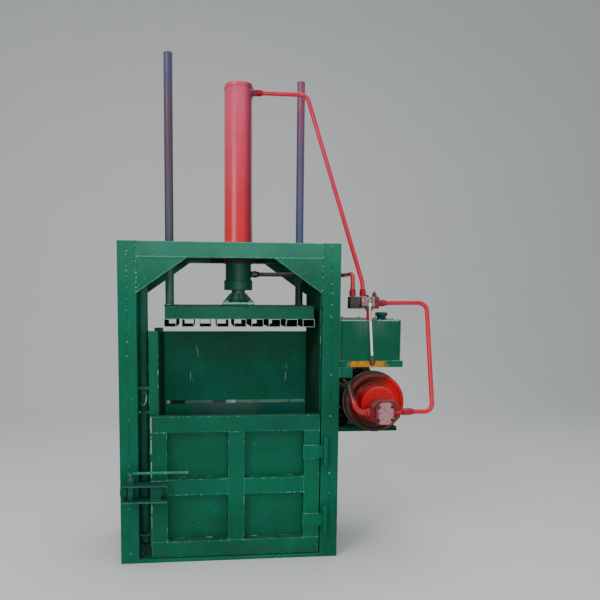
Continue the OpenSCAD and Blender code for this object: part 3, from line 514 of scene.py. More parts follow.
def metal(name, cols, rough=0.4, metallic=0.8, scale=40.0, grain=None, rust=0.0, rust_col=None, bump=0.4, bump_d=0.0006, extra=None):
    m = Mat(name)
    n1 = m.noise(scale, 5, 0.65)
    n2 = m.noise(scale * 0.17, 4, 0.6, loc=(4, 2, 7))
    a = m.mix(m.mr(n1, 0.3, 0.7), cols[0], cols[1])
    a = m.mix(m.mr(n2, 0.45, 0.75, 0.0, 0.7), a, cols[2])
    rr = m.mr(n1, 0.3, 0.7, rough - 0.08, rough + 0.12)
    height = m.math("MULTIPLY", n1, 1.0)
    if grain is not None:
        g = m.noise(1.0, 2, 0.5, vec=m.warp(scale=grain))
        a = m.mix(m.math("MULTIPLY", m.mr(g, 0.4, 0.7), 0.25), a, mul(cols[0], 0.7))
        height = m.math("ADD", height, m.math("MULTIPLY", g, 0.6))
    met = metallic
    if rust:
        r = m.mr(m.noise(scale * 0.5, 6, 0.7, loc=(1, 1, 6)), 0.62 - 0.25 * rust, 0.70 - 0.20 * rust)
        a = m.mix(r, a, rust_col or S(112, 62, 40))
        rr = m.math("ADD", rr, m.math("MULTIPLY", r, 0.3))
        met = m.math("SUBTRACT", metallic, m.math("MULTIPLY", r, metallic * 0.9))
        height = m.math("ADD", height, m.math("MULTIPLY", r, 0.8))
    if extra:
        a, rr, height, met = extra(m, a, rr, height, met)
    return m.finish(a, rr, m.bump(height, bump, bump_d), met)


def rod_extra(m, a, rr, h, met):
    """Guide pipes: rusty pink brown at the top, purple grey below, green paint under the head."""
    wob = m.math("MULTIPLY", m.math("SUBTRACT", m.noise(3.0, 4, 0.6), 0.5), 0.25)
    zz = m.math("ADD", m.z, wob)
    a = m.mix(m.math("MULTIPLY", m.mr(zz, 2.05, 2.40), 0.75), a, S(152, 82, 112))
    a = m.mix(m.math("MULTIPLY", m.mr(zz, 1.92, 1.66), 0.85), a, S(66, 92, 104))
    left = m.mr(m.x, 0.0, -0.1)
    cold = m.mix(m.mr(zz, 2.20, 2.36), S(66, 64, 72), S(68, 76, 114))
    a = m.mix(m.math("MULTIPLY", left, m.mr(m.z, 2.15, 2.35, 0.55, 0.85)), a, cold)
    right = m.math("MULTIPLY", m.math("SUBTRACT", 1.0, left), m.mr(m.z, 2.25, 2.12))
    a = m.mix(m.math("MULTIPLY", right, 0.45), a, S(78, 84, 134))
    run = m.noise(1.0, 4, 0.65, vec=m.warp(scale=(120, 120, 4)))
    a = m.mix(m.math("MULTIPLY", m.mr(run, 0.5, 0.75), 0.35), a, S(54, 34, 34))
    low = m.mr(m.z, 1.52, 1.50)
    # green paint under the head; the right rod, set back under the head, takes a darker copy of the green as painted
    # shade
    a = m.mix(m.math("MULTIPLY", low, 0.94), a, m.mix(left, S(6, 44, 36), S(4, 70, 52)))
    met = m.math("MULTIPLY", met, m.mr(low, 0, 1, 1.0, 0.05))
    return a, rr, h, met


def valve_extra(m, a, rr, h, met):
    """Port block green-black, spool block bare pinkish iron with a darker lower half."""
    block = m.mr(m.x, 0.600, 0.594)
    a = m.mix(m.math("MULTIPLY", block, 0.92), a, m.mix(m.mr(m.noise(50.0, 5, 0.7), 0.4, 0.6), S(10, 22, 18), S(34, 42, 34)))
    low = m.mr(m.z, 1.298, 1.278)
    a = m.mix(m.math("MULTIPLY", m.math("MULTIPLY", low, m.mr(m.noise(30.0, 5, 0.7, loc=(2, 2, 2)), 0.3, 0.55)), 0.9), a, S(36, 24, 18))
    maroon = m.mr(m.x, 0.6585, 0.6610)
    a = m.mix(m.math("MULTIPLY", maroon, 0.92), a, m.mix(m.mr(m.noise(60.0, 5, 0.7), 0.4, 0.6), S(112, 34, 42), S(70, 20, 24)))
    met = m.math("MULTIPLY", met, m.mr(m.math("MAXIMUM", block, m.math("MAXIMUM", low, maroon)), 0, 1, 1.0, 0.15))
    return a, m.math("MAXIMUM", rr, m.math("MULTIPLY", block, 0.62)), h, met


def chrome_extra(m, a, rr, h, met):
    """The rod end just above the flange carries the frame's green."""
    low = m.mr(m.z, 1.362, 1.358)
    a = m.mix(m.math("MULTIPLY", low, 0.96), a, m.mix(m.mr(m.noise(40.0, 5, 0.7), 0.4, 0.6), S(12, 70, 54), S(38, 100, 82)))
    rr = m.math("MAXIMUM", rr, m.math("MULTIPLY", low, 0.42))
    return a, rr, h, m.math("MULTIPLY", met, m.math("SUBTRACT", 1.0, low))


def pump_face_extra(m, a, rr, h, met):
    """Front cover: paint rubbed off the middle, maroon left at the sides and corners."""
    dx = m.math("SUBTRACT", m.x, 0.6705)
    wob = m.math("MULTIPLY", m.math("SUBTRACT", m.noise(60.0, 4, 0.65), 0.5), 0.012)
    edge = m.mr(m.math("ADD", m.math("ABSOLUTE", dx), wob), 0.0320, 0.0375)
    side = m.mr(m.y, -0.4330, -0.4310)
    keep = m.math("MAXIMUM", edge, side)
    tone = m.mix(m.mr(m.noise(70.0, 5, 0.7), 0.4, 0.62), S(128, 18, 44), S(86, 26, 40))
    a = m.mix(m.math("MULTIPLY", keep, 0.9), a, tone)
    return a, rr, h, m.math("MULTIPLY", met, m.math("SUBTRACT", 1.0, keep))


def suction_extra(m, a, rr, h):
    """Suction pipe: painted shade on the upper run under the tank, flange block dark and oily."""
    a = m.mix(m.math("MULTIPLY", m.mr(m.z, 0.822, 0.850), 0.93), a, m.mix(m.mr(m.noise(60.0, 4, 0.6), 0.4, 0.6), S(34, 26, 24), S(40, 38, 32)))
    a = m.mix(m.math("MULTIPLY", m.mr(m.x, 0.596, 0.602), 0.72), a, S(78, 10, 14))
    return a, rr, h


def lever_extra(m, a, rr, h, met):
    a = m.mix(m.math("MULTIPLY", band(m, m.z, 1.206, 1.262, 0.016), 0.6), a, S(150, 126, 108))
    return a, rr, h, met


# ------------------------------------------------------------------ materials
M = {}
M["frame"] = enamel("green_frame", mul(GREEN, 0.96), sky_sheen=0.13, sky_sheen_z=(1.28, 1.58), foot=0.10, spatter=0.12, dust=0.12, extra=column_extra)
M["frame_edge"] = enamel("green_frame_edge", mul(GREEN, 1.0), sky_sheen=0.14, sky_sheen_z=(1.28, 1.58), foot=0.10, extra=column_extra, edge=0.10, scratch=0)
M["head"] = enamel("green_head", mul(GREEN, 0.90), sky_sheen=0.22, sky_sheen_z=(1.36, 1.53), dust=0.3, spatter=0.08, shade=(-0.226, -0.222, 0.9))
M["gusset"] = enamel("green_gusset", mul(GREEN, 0.95), sky_sheen=0.13, sky_sheen_z=(1.33, 1.52), dust=0.3, spatter=0.08, shade=(-0.222, -0.18, 0.6))
M["head_edge"] = enamel("green_head_edge", mul(GREEN, 1.15), sky_sheen=0.30, sky_sheen_z=(1.36, 1.53), edge=0.4, scratch=0, shade=(-0.226, -0.222, 0.9))
# painted light: the green raised well above the frame's, a lit copy for the panel's inner face that the lamps barely
# reach
M["inner"] = enamel("green_panel_inside_painted_light", mul(GREEN, 1.35), grime=0.45, dust=0.1, spec=0.0, rough=0.7)
# painted shade: a darkened copy of the green for the parts inside the head
M["inner_dark"] = enamel("green_head_inside_painted_shade", mul(GREEN, 0.25), grime=0.7, dust=0.25, spec=0.0, rough=0.6)
M["chamber"] = enamel("green_chamber", mul(GREEN, 1.25), grime=0.30, blotch=1.5, dust=0.2, extra=chamber_extra, spec=0.1, rough=0.55)
M["liner"] = enamel("green_liner", mul(GREEN, 1.15), grime=0.40, blotch=1.5, dust=0.2, extra=liner_extra, spec=0.1, rough=0.5)
M["side_wall"] = enamel("green_side_wall", S(30, 76, 54), grime=0.5, blotch=1.5, dust=0.15, spec=0.0, rough=0.65)
M["door"] = enamel("green_door", mul(GREEN, 0.77), foot=0.08, scratch=0.12, chips=0.12, extra=door_extra)
M["door_edge"] = enamel("green_door_edge", mul(GREEN, 0.98), edge=0.10, scratch=0, chips=0.2, foot=0.08, extra=door_extra)
M["door_panel"] = enamel("green_door_panel", mul(GREEN, 0.72), foot=0.06, blotch=1.3, scratch=0.12, chips=0.08)
M["strap"] = enamel("green_strap", mul(GREEN, 0.85), scratch=0.2)
M["strap_edge"] = enamel("green_strap_edge", mul(GREEN, 1.15), edge=0.25, scratch=0)
M["latch_plate"] = enamel("green_latch_plate", mul(GREEN, 0.75), dust=0.10, extra=plate_extra)
M["platen"] = enamel("green_platen", mul(GREEN, 0.72), chips=0.15, scratch=0.1, extra=platen_extra)
M["platen_edge"] = enamel("green_platen_edge", mul(GREEN, 0.95), edge=0.35, scratch=0, extra=platen_extra)
M["tubes"] = enamel("green_tubes", mul(GREEN, 0.70), chips=0.6, extra=tube_extra)
M["floor_tubes"] = enamel("green_floor_tubes", mul(GREEN, 0.6), grime=0.7, chips=0.9, extra=cavity_extra)
M["gland"] = enamel("green_gland", mul(GREEN, 0.58), grime=0.5, extra=oil_extra, rough=0.50, spec=0.22)
M["rod_flange"] = enamel("green_rod_flange", mul(GREEN, 0.65), grime=0.5, extra=oil_extra, rough=0.40)
M["tank"] = enamel("green_tank", mul(GREEN, 0.72), dust=0.35, extra=tank_extra, rough=0.38)
M["tank_edge"] = enamel("green_tank_edge", mul(GREEN, 1.2), edge=0.45, scratch=0)
M["lid"] = enamel("green_lid", mul(GREEN, 0.9), dust=0.5, extra=lid_extra)
M["bracket"] = enamel("green_bracket", mul(GREEN, 0.9), chips=0.8, extra=bracket_extra)
M["cap"] = enamel("green_cap", (0.012, 0.105, 0.105, 1), dust=0.35, grime=0.4)
M["weld"] = enamel("green_weld", mul(GREEN, 1.08), sky_sheen=0.22, sky_sheen_z=(1.3, 1.6), edge=0.08, scratch=0, rough=0.30, foot=0.05, spec=0.5)
# real spatter, its pale colour a painted highlight
M["drops"] = enamel("green_drops_highlight", mul(GREEN, 1.5), sky_sheen=0.35, sky_sheen_z=(0.6, 1.5), edge=0.4, scratch=0, rough=0.28, spec=0.6)
M["seam"] = enamel("green_seam", mul(GREEN, 0.92), sky_sheen=0.14, sky_sheen_z=(1.3, 1.6), scratch=0, chips=0.15, foot=0.1, extra=column_extra)
# weld green lightened as a painted highlight
M["weld_bright"] = enamel("green_weld_bright", mul(GREEN, 1.75), sky_sheen=0.12, sky_sheen_z=(1.2, 1.5), scratch=0, rough=0.34, spec=0.4)
M["toe"] = enamel("green_toe", mul(GREEN, 0.45), grime=0.6, dust=0.3, spec=0.05, rough=0.6)
M["hook"] = enamel("green_hook", S(42, 88, 74), sky_sheen=0.0, edge=0.25, scratch=0, grime=0.5, spec=0.3)
M["lining"] = enamel("green_lining", S(26, 96, 72), grime=0.40, dust=0.2, spec=0.14, rough=0.6, blotch=1.3)
# pale green standing as a painted highlight along the gusset edge
M["gusset_line"] = enamel("green_gusset_line", mul(GREEN, 1.45), sky_sheen=0.35, sky_sheen_z=(1.2, 1.5), scratch=0, chips=0.2, rough=0.34, spec=0.4)
M["shelf"] = enamel("green_shelf", mul(GREEN, 0.32), grime=0.6, dust=0.10, spec=0.05, rough=0.6)
M["weld_dark"] = enamel("green_weld_dark", mul(GREEN, 0.7), edge=0.1, scratch=0, rough=0.36, spec=0.3)
M["latch"] = enamel("green_latch", mul(GREEN, 1.1), edge=0.15, rough=0.36, extra=latch_extra)
M["keeper"] = enamel("green_keeper", mul(GREEN, 0.65), grime=0.4, spec=0.15)
M["barrel"] = red_gloss("red_barrel", S(214, 38, 56), fade=(1.70, 2.38, S(206, 94, 128), 0.70), extra=barrel_extra, dirt=0.12, coat=0.08)
M["pipe"] = red_gloss("red_pipe", S(204, 22, 50), fade=(0.75, 1.9, S(200, 54, 94), 0.32), dirt=0.24, rough=0.30, coat=0.12, spec=0.28)
M["pipe_low"] = red_gloss("red_pipe_low", S(204, 26, 54), dirt=0.25, rough=0.30, coat=0.1, extra=pipe_low_extra)
M["suction"] = red_gloss("red_suction", S(164, 18, 28), dirt=0.35, rough=0.30, coat=0.2, extra=suction_extra)
M["union"] = red_gloss("red_union", S(156, 14, 34), dirt=0.5, rough=0.32, coat=0.1, extra=union_extra)
M["bell"] = red_gloss("red_bell", S(198, 20, 28), dirt=0.30, extra=bell_extra, rough=0.42, coat=0.04, spec=0.14)
M["pump"] = red_gloss("red_pump", S(120, 20, 24), dirt=0.6, extra=pump_extra, oily=0.12)
M["pump_face"] = metal("pump_face", (S(184, 134, 136), S(158, 110, 114), S(140, 88, 92)), rough=0.46, metallic=0.3, scale=120, rust=0.16, rust_col=S(124, 36, 44), bump=0.7, bump_d=0.0005, extra=pump_face_extra)
M["motor"] = metal("motor_paint", (S(52, 50, 44), S(70, 62, 54), S(84, 62, 52)), rough=0.5, metallic=0.15, scale=30, rust=0.25, rust_col=S(92, 66, 56), bump=0.6)
M["ring"] = metal("motor_ring", (S(64, 64, 58), S(80, 70, 60), S(98, 64, 58)), rough=0.44, metallic=0.2, scale=26, rust=0.3, rust_col=S(96, 60, 54), bump=0.8)
M["fan"] = metal("fan_cover_paint", (S(46, 46, 42), S(60, 58, 52), S(74, 68, 58)), rough=0.48, metallic=0.1, scale=20, rust=0.1, rust_col=S(96, 84, 70))
M["fixing"] = metal("dark_bolts", (S(58, 44, 40), S(36, 30, 28), S(90, 70, 62)), rough=0.42, metallic=0.7, scale=160, rust=0.4, rust_col=S(86, 48, 34))
M["bolt_green"] = enamel("green_bolts", mul(GREEN, 1.3), edge=0.9, scratch=0)
M["pin"] = metal("pin_steel", (S(96, 104, 98), S(70, 74, 70), S(50, 78, 66)), rough=0.4, metallic=0.8, scale=90, rust=0.3)
M["rods"] = metal("guide_pipe", (S(108, 78, 104), S(90, 70, 98), S(102, 84, 108)), rough=0.48, metallic=0.35, scale=60, grain=(260, 260, 16), rust=0.30, rust_col=S(122, 70, 72), extra=rod_extra)
M["chrome"] = metal("hard_chrome", (S(188, 192, 194), S(160, 166, 168), S(120, 128, 124)), rough=0.16, metallic=1.0, scale=30, grain=(30, 30, 400), bump=0.1, bump_d=0.0002, extra=chrome_extra)
M["valve"] = metal("valve_iron", (S(184, 156, 150), S(142, 112, 106), S(104, 76, 70)), rough=0.42, metallic=0.45, scale=90, rust=0.25, rust_col=S(84, 44, 36), bump=0.8, extra=valve_extra)
M["bare"] = metal("bare_casting", (S(206, 176, 172), S(170, 136, 132), S(120, 88, 84)), rough=0.38, metallic=0.35, scale=120, rust=0.18, rust_col=S(90, 50, 42), bump=0.6)
M["relief"] = metal("relief_paint", (S(120, 36, 46), S(96, 26, 36), S(66, 18, 24)), rough=0.42, metallic=0.1, scale=90, rust=0.2, rust_col=S(50, 18, 18), bump=0.6)
M["spool"] = metal("spool_steel", (S(190, 190, 186), S(160, 160, 158), S(130, 126, 122)), rough=0.28, metallic=0.9, scale=120)
M["lever"] = metal("lever_plate", (S(240, 242, 232), S(222, 224, 212), S(196, 196, 184)), rough=0.36, metallic=0.25, scale=60, rust=0.08, rust_col=S(150, 112, 96), extra=lever_extra)
M["machined"] = metal("machined_steel", (S(150, 150, 148), S(128, 128, 126), S(108, 106, 104)), rough=0.32, metallic=0.9, scale=80, grain=(10, 300, 10))


def knob_mat():
    """Moulded handle, brown, mottled paler and darker."""
    m = Mat("knob_plastic")
    n = m.noise(120, 4, 0.6)
    a = m.mix(m.mr(n, 0.3, 0.7), S(62, 30, 26), S(88, 48, 42))
    a = m.mix(m.math("MULTIPLY", m.mr(m.noise(14, 4, 0.6), 0.5, 0.7), 0.6), a, S(44, 20, 18))
    return m.finish(a, m.mr(n, 0.3, 0.7, 0.34, 0.5), m.bump(n, 0.3, 0.0004), 0.0, 0.1, 0.3)


M["knob"] = knob_mat()

PLAN = {
    "base_frame": ("frame", "frame_edge"), "front_columns": ("frame", "frame_edge"), "rear_columns": ("frame", "frame_edge"),
    "head_beams": ("head", "head_edge"), "head_gussets": ("gusset", "head_edge"), "head_cross_members": ("inner_dark", None),
    "cylinder_seat_plate": ("inner_dark", None), "guide_sleeves": ("inner_dark", None), "left_side_panel": ("inner", None),
    "right_wall": ("side_wall", None), "rear_wall": ("chamber", None), "rear_wall_ribs": ("frame", "frame_edge"),
    "rear_liner": ("liner", None), "left_wall": ("side_wall", None), "chamber_posts": ("frame", "frame_edge"),
    "floor_plate": ("side_wall", None), "floor_tubes": ("floor_tubes", None), "door_keeper": ("keeper", None),
    "hinge_knuckles": ("strap", None), "hinge_pins": ("strap", None), "cylinder_barrel": ("barrel", None),
    "cylinder_end_cap": ("barrel", None), "cylinder_gland": ("gland", None), "tank_body": ("tank", "tank_edge"),
    "tank_lid": ("lid", None), "filler_cap": ("cap", None), "tank_brackets": ("bracket", None),
    "motor_shelf": ("shelf", None), "motor_body": ("motor", None), "motor_flange": ("ring", None),
    "fan_cover": ("fan", None), "terminal_box": ("fan", None), "bell_housing": ("bell", None), "pump_body": ("pump", None),
    "pump_cover": ("pump_face", None), "unit_bolts": ("fixing", None), "pressure_pipe": ("pipe", None),
    "upper_pipe": ("pipe", None), "lower_pipe": ("pipe_low", None), "suction_pipe": ("suction", None), "return_pipe": ("pipe", None),
    "pipe_unions": ("union", None), "valve_body": ("valve", None), "valve_spool": ("spool", None), "valve_lever": ("lever", None),
    "lever_knob": ("knob", None), "platen_frame": ("platen", "platen_edge"), "platen_tubes": ("tubes", None),
    "rod_flange": ("rod_flange", None), "rod_flange_bolts": ("bolt_green", None), "guide_rods": ("rods", None),
    "piston_rod": ("chrome", None), "door_frame": ("door", "door_edge"), "door_panel": ("door_panel", None),
    "hinge_straps": ("strap", "strap_edge"), "latch_plates": ("latch_plate", None), "latch_handle": ("latch", None),
    "motor_rotor": ("machined", None), "pump_drive_gear": ("machined", None), "pump_driven_gear": ("machined", None),
}
# node: bevel width in metres
ROUND = {
    "base_frame": 0.0015, "front_columns": 0.004, "rear_columns": 0.004, "head_beams": 0.004, "head_gussets": 0.0028,
    "head_cross_members": 0.001, "cylinder_seat_plate": 0.0015, "left_side_panel": 0.0008, "right_wall": 0.0008,
    "rear_wall": 0.0008, "rear_wall_ribs": 0.002, "rear_liner": 0.0012, "left_wall": 0.0008, "chamber_posts": 0.003,
    "floor_tubes": 0.0008, "door_keeper": 0.0015, "tank_body": 0.0018, "tank_lid": 0.0015, "tank_brackets": 0.0010,
    "motor_shelf": 0.0015, "terminal_box": 0.0016, "platen_frame": 0.0015, "platen_tubes": 0.0009, "door_frame": 0.004,
    "latch_plates": 0.0015, "valve_body": 0.0016, "pump_body": 0.0015, "pump_cover": 0.0015,
    "hinge_straps": 0.0012, "hinge_knuckles": 0.001, "motor_flange": 0.002, "rod_flange": 0.001, "rod_flange_bolts": 0.0008,
    "unit_bolts": 0.0007, "pipe_unions": 0.0008, "cylinder_barrel": 0.0012, "filler_cap": 0.003, "latch_handle": 0.001,
}
# faces with windows in them keep their own facets
WINDOWED = ("door_frame", "rear_wall_ribs", "head_beams")
for name, obj in NODES.items():
    key, edge = PLAN[name]
    if not obj.material_slots:
        obj.data.materials.append(M[key])
    for s in obj.material_slots:
        s.material = M[key]
    w = ROUND.get(name)
    if w:
        weld = obj.modifiers.new("weld", "WELD")
        weld.merge_threshold = 0.00001
        if name not in WINDOWED:
            flat = obj.modifiers.new("flat", "DECIMATE")
            flat.decimate_type = "DISSOLVE"
            flat.angle_limit = math.radians(0.15)
        bev = obj.modifiers.new("bevel", "BEVEL")
        bev.width = w
        bev.segments = 2
        bev.limit_method = "ANGLE"
        bev.angle_limit = math.radians(38)
        bev.use_clamp_overlap = name not in WINDOWED
        if edge:
            obj.data.materials.append(M[edge])
            bev.material = len(obj.data.materials) - 1


# ------------------------------------------------------------------ added detail
class Geo:
    def __init__(s):
        s.v, s.f, s.smooth = [], [], []

    def add(s, verts, faces, smooth=True):
        o = len(s.v)
        s.v += [tuple(v) for v in verts]
        s.f += [tuple(i + o for i in f) for f in faces]
        s.smooth += [smooth] * len(faces)

    def revolve(s, prof, mtx, seg=24, smooth=True, phase=0.0):
        """prof: (radius, height) pairs from bottom to top, both ends on the axis or closed by a cap."""
        verts, faces, rings = [], [], []
        for r, h in prof:
            if r < 1e-7:
                rings.append([len(verts)])
                verts.append(mtx @ Vector((0, 0, h)))
            else:
                rings.append(list(range(len(verts), len(verts) + seg)))
                for k in range(seg):
                    t = 2 * math.pi * k / seg + phase
                    verts.append(mtx @ Vector((r * math.cos(t), r * math.sin(t), h)))
        for a, b in zip(rings, rings[1:]):
            for k in range(seg):
                k2 = (k + 1) % seg
                if len(a) == 1 and len(b) == 1:
                    continue
                if len(a) == 1:
                    faces.append((a[0], b[k2], b[k]))
                elif len(b) == 1:
                    faces.append((a[k], a[k2], b[0]))
                else:
                    faces.append((a[k], a[k2], b[k2], b[k]))
        if len(rings[0]) > 1:
            faces.append(tuple(reversed(rings[0])))
        if len(rings[-1]) > 1:
            faces.append(tuple(rings[-1]))
        s.add(verts, faces, smooth)

    def blob(s, c, rx, ry, rz, mtx=None, seg=7, rings=4):
        rot = mtx.to_3x3() if mtx is not None else Matrix.Identity(3)
        c = Vector(c)
        verts = [c + rot @ Vector((0, 0, -rz))]
        for i in range(1, rings):
            t = -math.pi / 2 + math.pi * i / rings
            for k in range(seg):
                a = 2 * math.pi * k / seg
                verts.append(c + rot @ Vector((rx * math.cos(t) * math.cos(a), ry * math.cos(t) * math.sin(a), rz * math.sin(t))))
        verts.append(c + rot @ Vector((0, 0, rz)))
        faces = []
        for k in range(seg):
            faces.append((0, 1 + (k + 1) % seg, 1 + k))
        for i in range(rings - 2):
            for k in range(seg):
                a, b = 1 + i * seg + k, 1 + i * seg + (k + 1) % seg
                faces.append((a, b, b + seg, a + seg))
        top = len(verts) - 1
        base = 1 + (rings - 2) * seg
        for k in range(seg):
            faces.append((base + k, base + (k + 1) % seg, top))
        s.add(verts, faces)

    def bead(s, a, b, w, h, up, pitch=0.0062, jitter=0.22, skip=0.0):
        """Row of overlapping ripples from a to b; up is the way the bead stands, w its half width, h its height."""
        a, b, up = Vector(a), Vector(b), Vector(up).normalized()
        d = b - a
        n = max(2, int(d.length / pitch))
        d.normalize()
        side = d.cross(up).normalized()
        for i in range(n + 1):
            if rnd.random() < skip:
                continue
            t = i / n
            k = 1 + rnd.uniform(-jitter, jitter)
            rot = Matrix((side, d, up)).transposed()
            p = a.lerp(b, t) + side * rnd.uniform(-0.18, 0.18) * w
            lean = Matrix.Rotation(rnd.uniform(-0.2, 0.2), 3, up)
            s.blob(p, w * k, pitch * 1.02 * (1 + rnd.uniform(-0.1, 0.15)), h * k, (lean @ rot).to_4x4())

    def box(s, x0, x1, y0, y1, z0, z1, ch=0.0):
        if ch <= 0:
            v = [(x, y, z) for z in (z0, z1) for y in (y0, y1) for x in (x0, x1)]
            s.add(v, [(0, 2, 3, 1), (4, 5, 7, 6), (0, 1, 5, 4), (2, 6, 7, 3), (0, 4, 6, 2), (1, 3, 7, 5)], False)
            return
        verts, index = [], {}
        for iz, z in enumerate((z0, z1)):
            for iy, y in enumerate((y0, y1)):
                for ix, x in enumerate((x0, x1)):
                    sx, sy, sz = (1 if ix == 0 else -1), (1 if iy == 0 else -1), (1 if iz == 0 else -1)
                    index[(ix, iy, iz, "x")] = len(verts)
                    verts.append((x, y + sy * ch, z + sz * ch))
                    index[(ix, iy, iz, "y")] = len(verts)
                    verts.append((x + sx * ch, y, z + sz * ch))
                    index[(ix, iy, iz, "z")] = len(verts)
                    verts.append((x + sx * ch, y + sy * ch, z))
        F = []
        for ix in (0, 1):
            q = [index[(ix, a, b, "x")] for a, b in ((0, 0), (1, 0), (1, 1), (0, 1))]
            F.append(q if ix == 1 else q[::-1])
        for iy in (0, 1):
            q = [index[(a, iy, b, "y")] for a, b in ((0, 0), (1, 0), (1, 1), (0, 1))]
            F.append(q[::-1] if iy == 1 else q)
        for iz in (0, 1):
            q = [index[(a, b, iz, "z")] for a, b in ((0, 0), (1, 0), (1, 1), (0, 1))]
            F.append(q if iz == 1 else q[::-1])
        for ix in (0, 1):
            for iy in (0, 1):
                q = [index[(ix, iy, 0, "x")], index[(ix, iy, 0, "y")], index[(ix, iy, 1, "y")], index[(ix, iy, 1, "x")]]
                F.append(q if (ix + iy) % 2 == 0 else q[::-1])
        for ix in (0, 1):
            for iz in (0, 1):
                q = [index[(ix, 0, iz, "x")], index[(ix, 1, iz, "x")], index[(ix, 1, iz, "z")], index[(ix, 0, iz, "z")]]
                F.append(q if (ix + iz) % 2 == 0 else q[::-1])
        for iy in (0, 1):
            for iz in (0, 1):
                q = [index[(0, iy, iz, "y")], index[(0, iy, iz, "z")], index[(1, iy, iz, "z")], index[(1, iy, iz, "y")]]
                F.append(q if (iy + iz) % 2 == 0 else q[::-1])
        for ix in (0, 1):
            for iy in (0, 1):
                for iz in (0, 1):
                    q = [index[(ix, iy, iz, k)] for k in "xyz"]
                    F.append(q[::-1] if (ix + iy + iz) % 2 == 0 else q)
        s.add(verts, F, False)

    def tube(s, pts, r, seg=10, cap=True):
        pts = [Vector(p) for p in pts]
        verts, faces = [], []
        u = None
        for i, p in enumerate(pts):
            d = (pts[min(i + 1, len(pts) - 1)] - pts[max(i - 1, 0)]).normalized()
            if u is None:
                u = d.cross(Vector((0.3, 0.2, 0.93))).normalized()
            u = (u - d * u.dot(d)).normalized()
            v = d.cross(u)
            for k in range(seg):
                a = 2 * math.pi * k / seg
                verts.append(p + (u * math.cos(a) + v * math.sin(a)) * r)
        for i in range(len(pts) - 1):
            for k in range(seg):
                a, b = i * seg + k, i * seg + (k + 1) % seg
                faces.append((a, b, b + seg, a + seg))
        if cap:
            faces.append(tuple(reversed(range(seg))))
            faces.append(tuple(range((len(pts) - 1) * seg, len(pts) * seg)))
        s.add(verts, faces)

    def hexhead(s, mtx, r, h, washer=0.0):
        z = 0.0
        if washer:
            s.revolve([(washer, 0), (washer, 0.0014), (washer - 0.0006, 0.002), (0, 0.002)], mtx, 24, False)
            z = 0.002
        s.revolve([(r, z), (r, z + h * 0.78), (r * 0.88, z + h), (0, z + h)], mtx, 6, False, phase=rnd.random())

    def make(s, name, body, mat):
        me = bpy.data.meshes.new(name)
        me.from_pydata(s.v, [], s.f)
        me.polygons.foreach_set("use_smooth", s.smooth)
        me.update()
        o = bpy.data.objects.new(name, me)
        bpy.context.scene.collection.objects.link(o)
        me.materials.append(mat)
        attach(o, body)
        return o


def frame_at(p, z, x=(1, 0, 0)):
    z = Vector(z).normalized()
    x = Vector(x)
    x = (x - z * x.dot(z)).normalized()
    y = z.cross(x)
    return Matrix(((x[0], y[0], z[0], p[0]), (x[1], y[1], z[1], p[1]), (x[2], y[2], z[2], p[2]), (0, 0, 0, 1)))


FRONT, UP = (0, -1, 0), (0, 0, 1)
YF, YR = -0.235, 0.235

# --- welds of the frame
g = Geo()
for x in (-0.544, 0.448):
    g.bead((x, YF + 0.0006, 0.012), (x, YF + 0.0006, 1.572), 0.0027, 0.0014, FRONT, 0.0066)
    g.bead((x, YR - 0.0011, 0.012), (x, YR - 0.0011, 1.572), 0.0022, 0.0009, (0, 1, 0), 0.0080)
g.make("column_seams", "frame", M["seam"])
g = Geo()
for k, x in ((1, -0.500), (-1, 0.404)):
    for y, w, f in ((-0.2332, 0.0042, (k * 0.5, -1, 0)), (0.2312, 0.0028, (k * 0.5, 1, 0))):
        g.bead((x + k * 0.0008, y, 1.340), (x + k * 0.0008, y, 1.502), w, 0.0018, f, 0.0068)
    g.bead((x, YF + 0.001, 1.508), (x, YF + 0.001, 1.576), 0.0036, 0.0022, FRONT, 0.0062)
    g.bead((x, YR - 0.0013, 1.508), (x, YR - 0.0013, 1.576), 0.0030, 0.0010, (0, 1, 0), 0.0062)
    g.bead((x + k * 0.003, YR - 0.0038, 1.5035), (x + k * 0.232, YR - 0.0038, 1.5035), 0.0028, 0.0024, (0, 1, -0.6), 0.0062)
g.make("frame_weld_beads", "frame", M["seam"])
# thick weld between each gusset and its beam, lightened as a painted highlight
g = Geo()
for k, x in ((1, -0.500), (-1, 0.404)):
    g.bead((x + k * 0.003, YF + 0.0008, 1.5055), (x + k * 0.234, YF + 0.0008, 1.5055), 0.0060, 0.0040, (0, -1, 0.25), 0.0066)
    g.blob((x + k * 0.236, YF + 0.0016, 1.5030), 0.0052, 0.0030, 0.0046, None, 10, 6)
g.make("gusset_beam_welds", "frame", M["weld_bright"])
# flame-cut lower edge of each gusset, rounded by many coats, coloured pale as a painted highlight
g = Geo()
for k, x in ((1, -0.500), (-1, 0.404)):
    pts = []
    for i in range(33):
        t = i / 32
        pts.append((x + k * (0.002 + 0.234 * t), -0.2336 + rnd.uniform(-0.0003, 0.0003), 1.3375 + 0.1655 * t + rnd.uniform(-0.0005, 0.0005)))
    g.tube(pts, 0.0021, 8)
g.make("gusset_edges", "frame", M["gusset_line"])

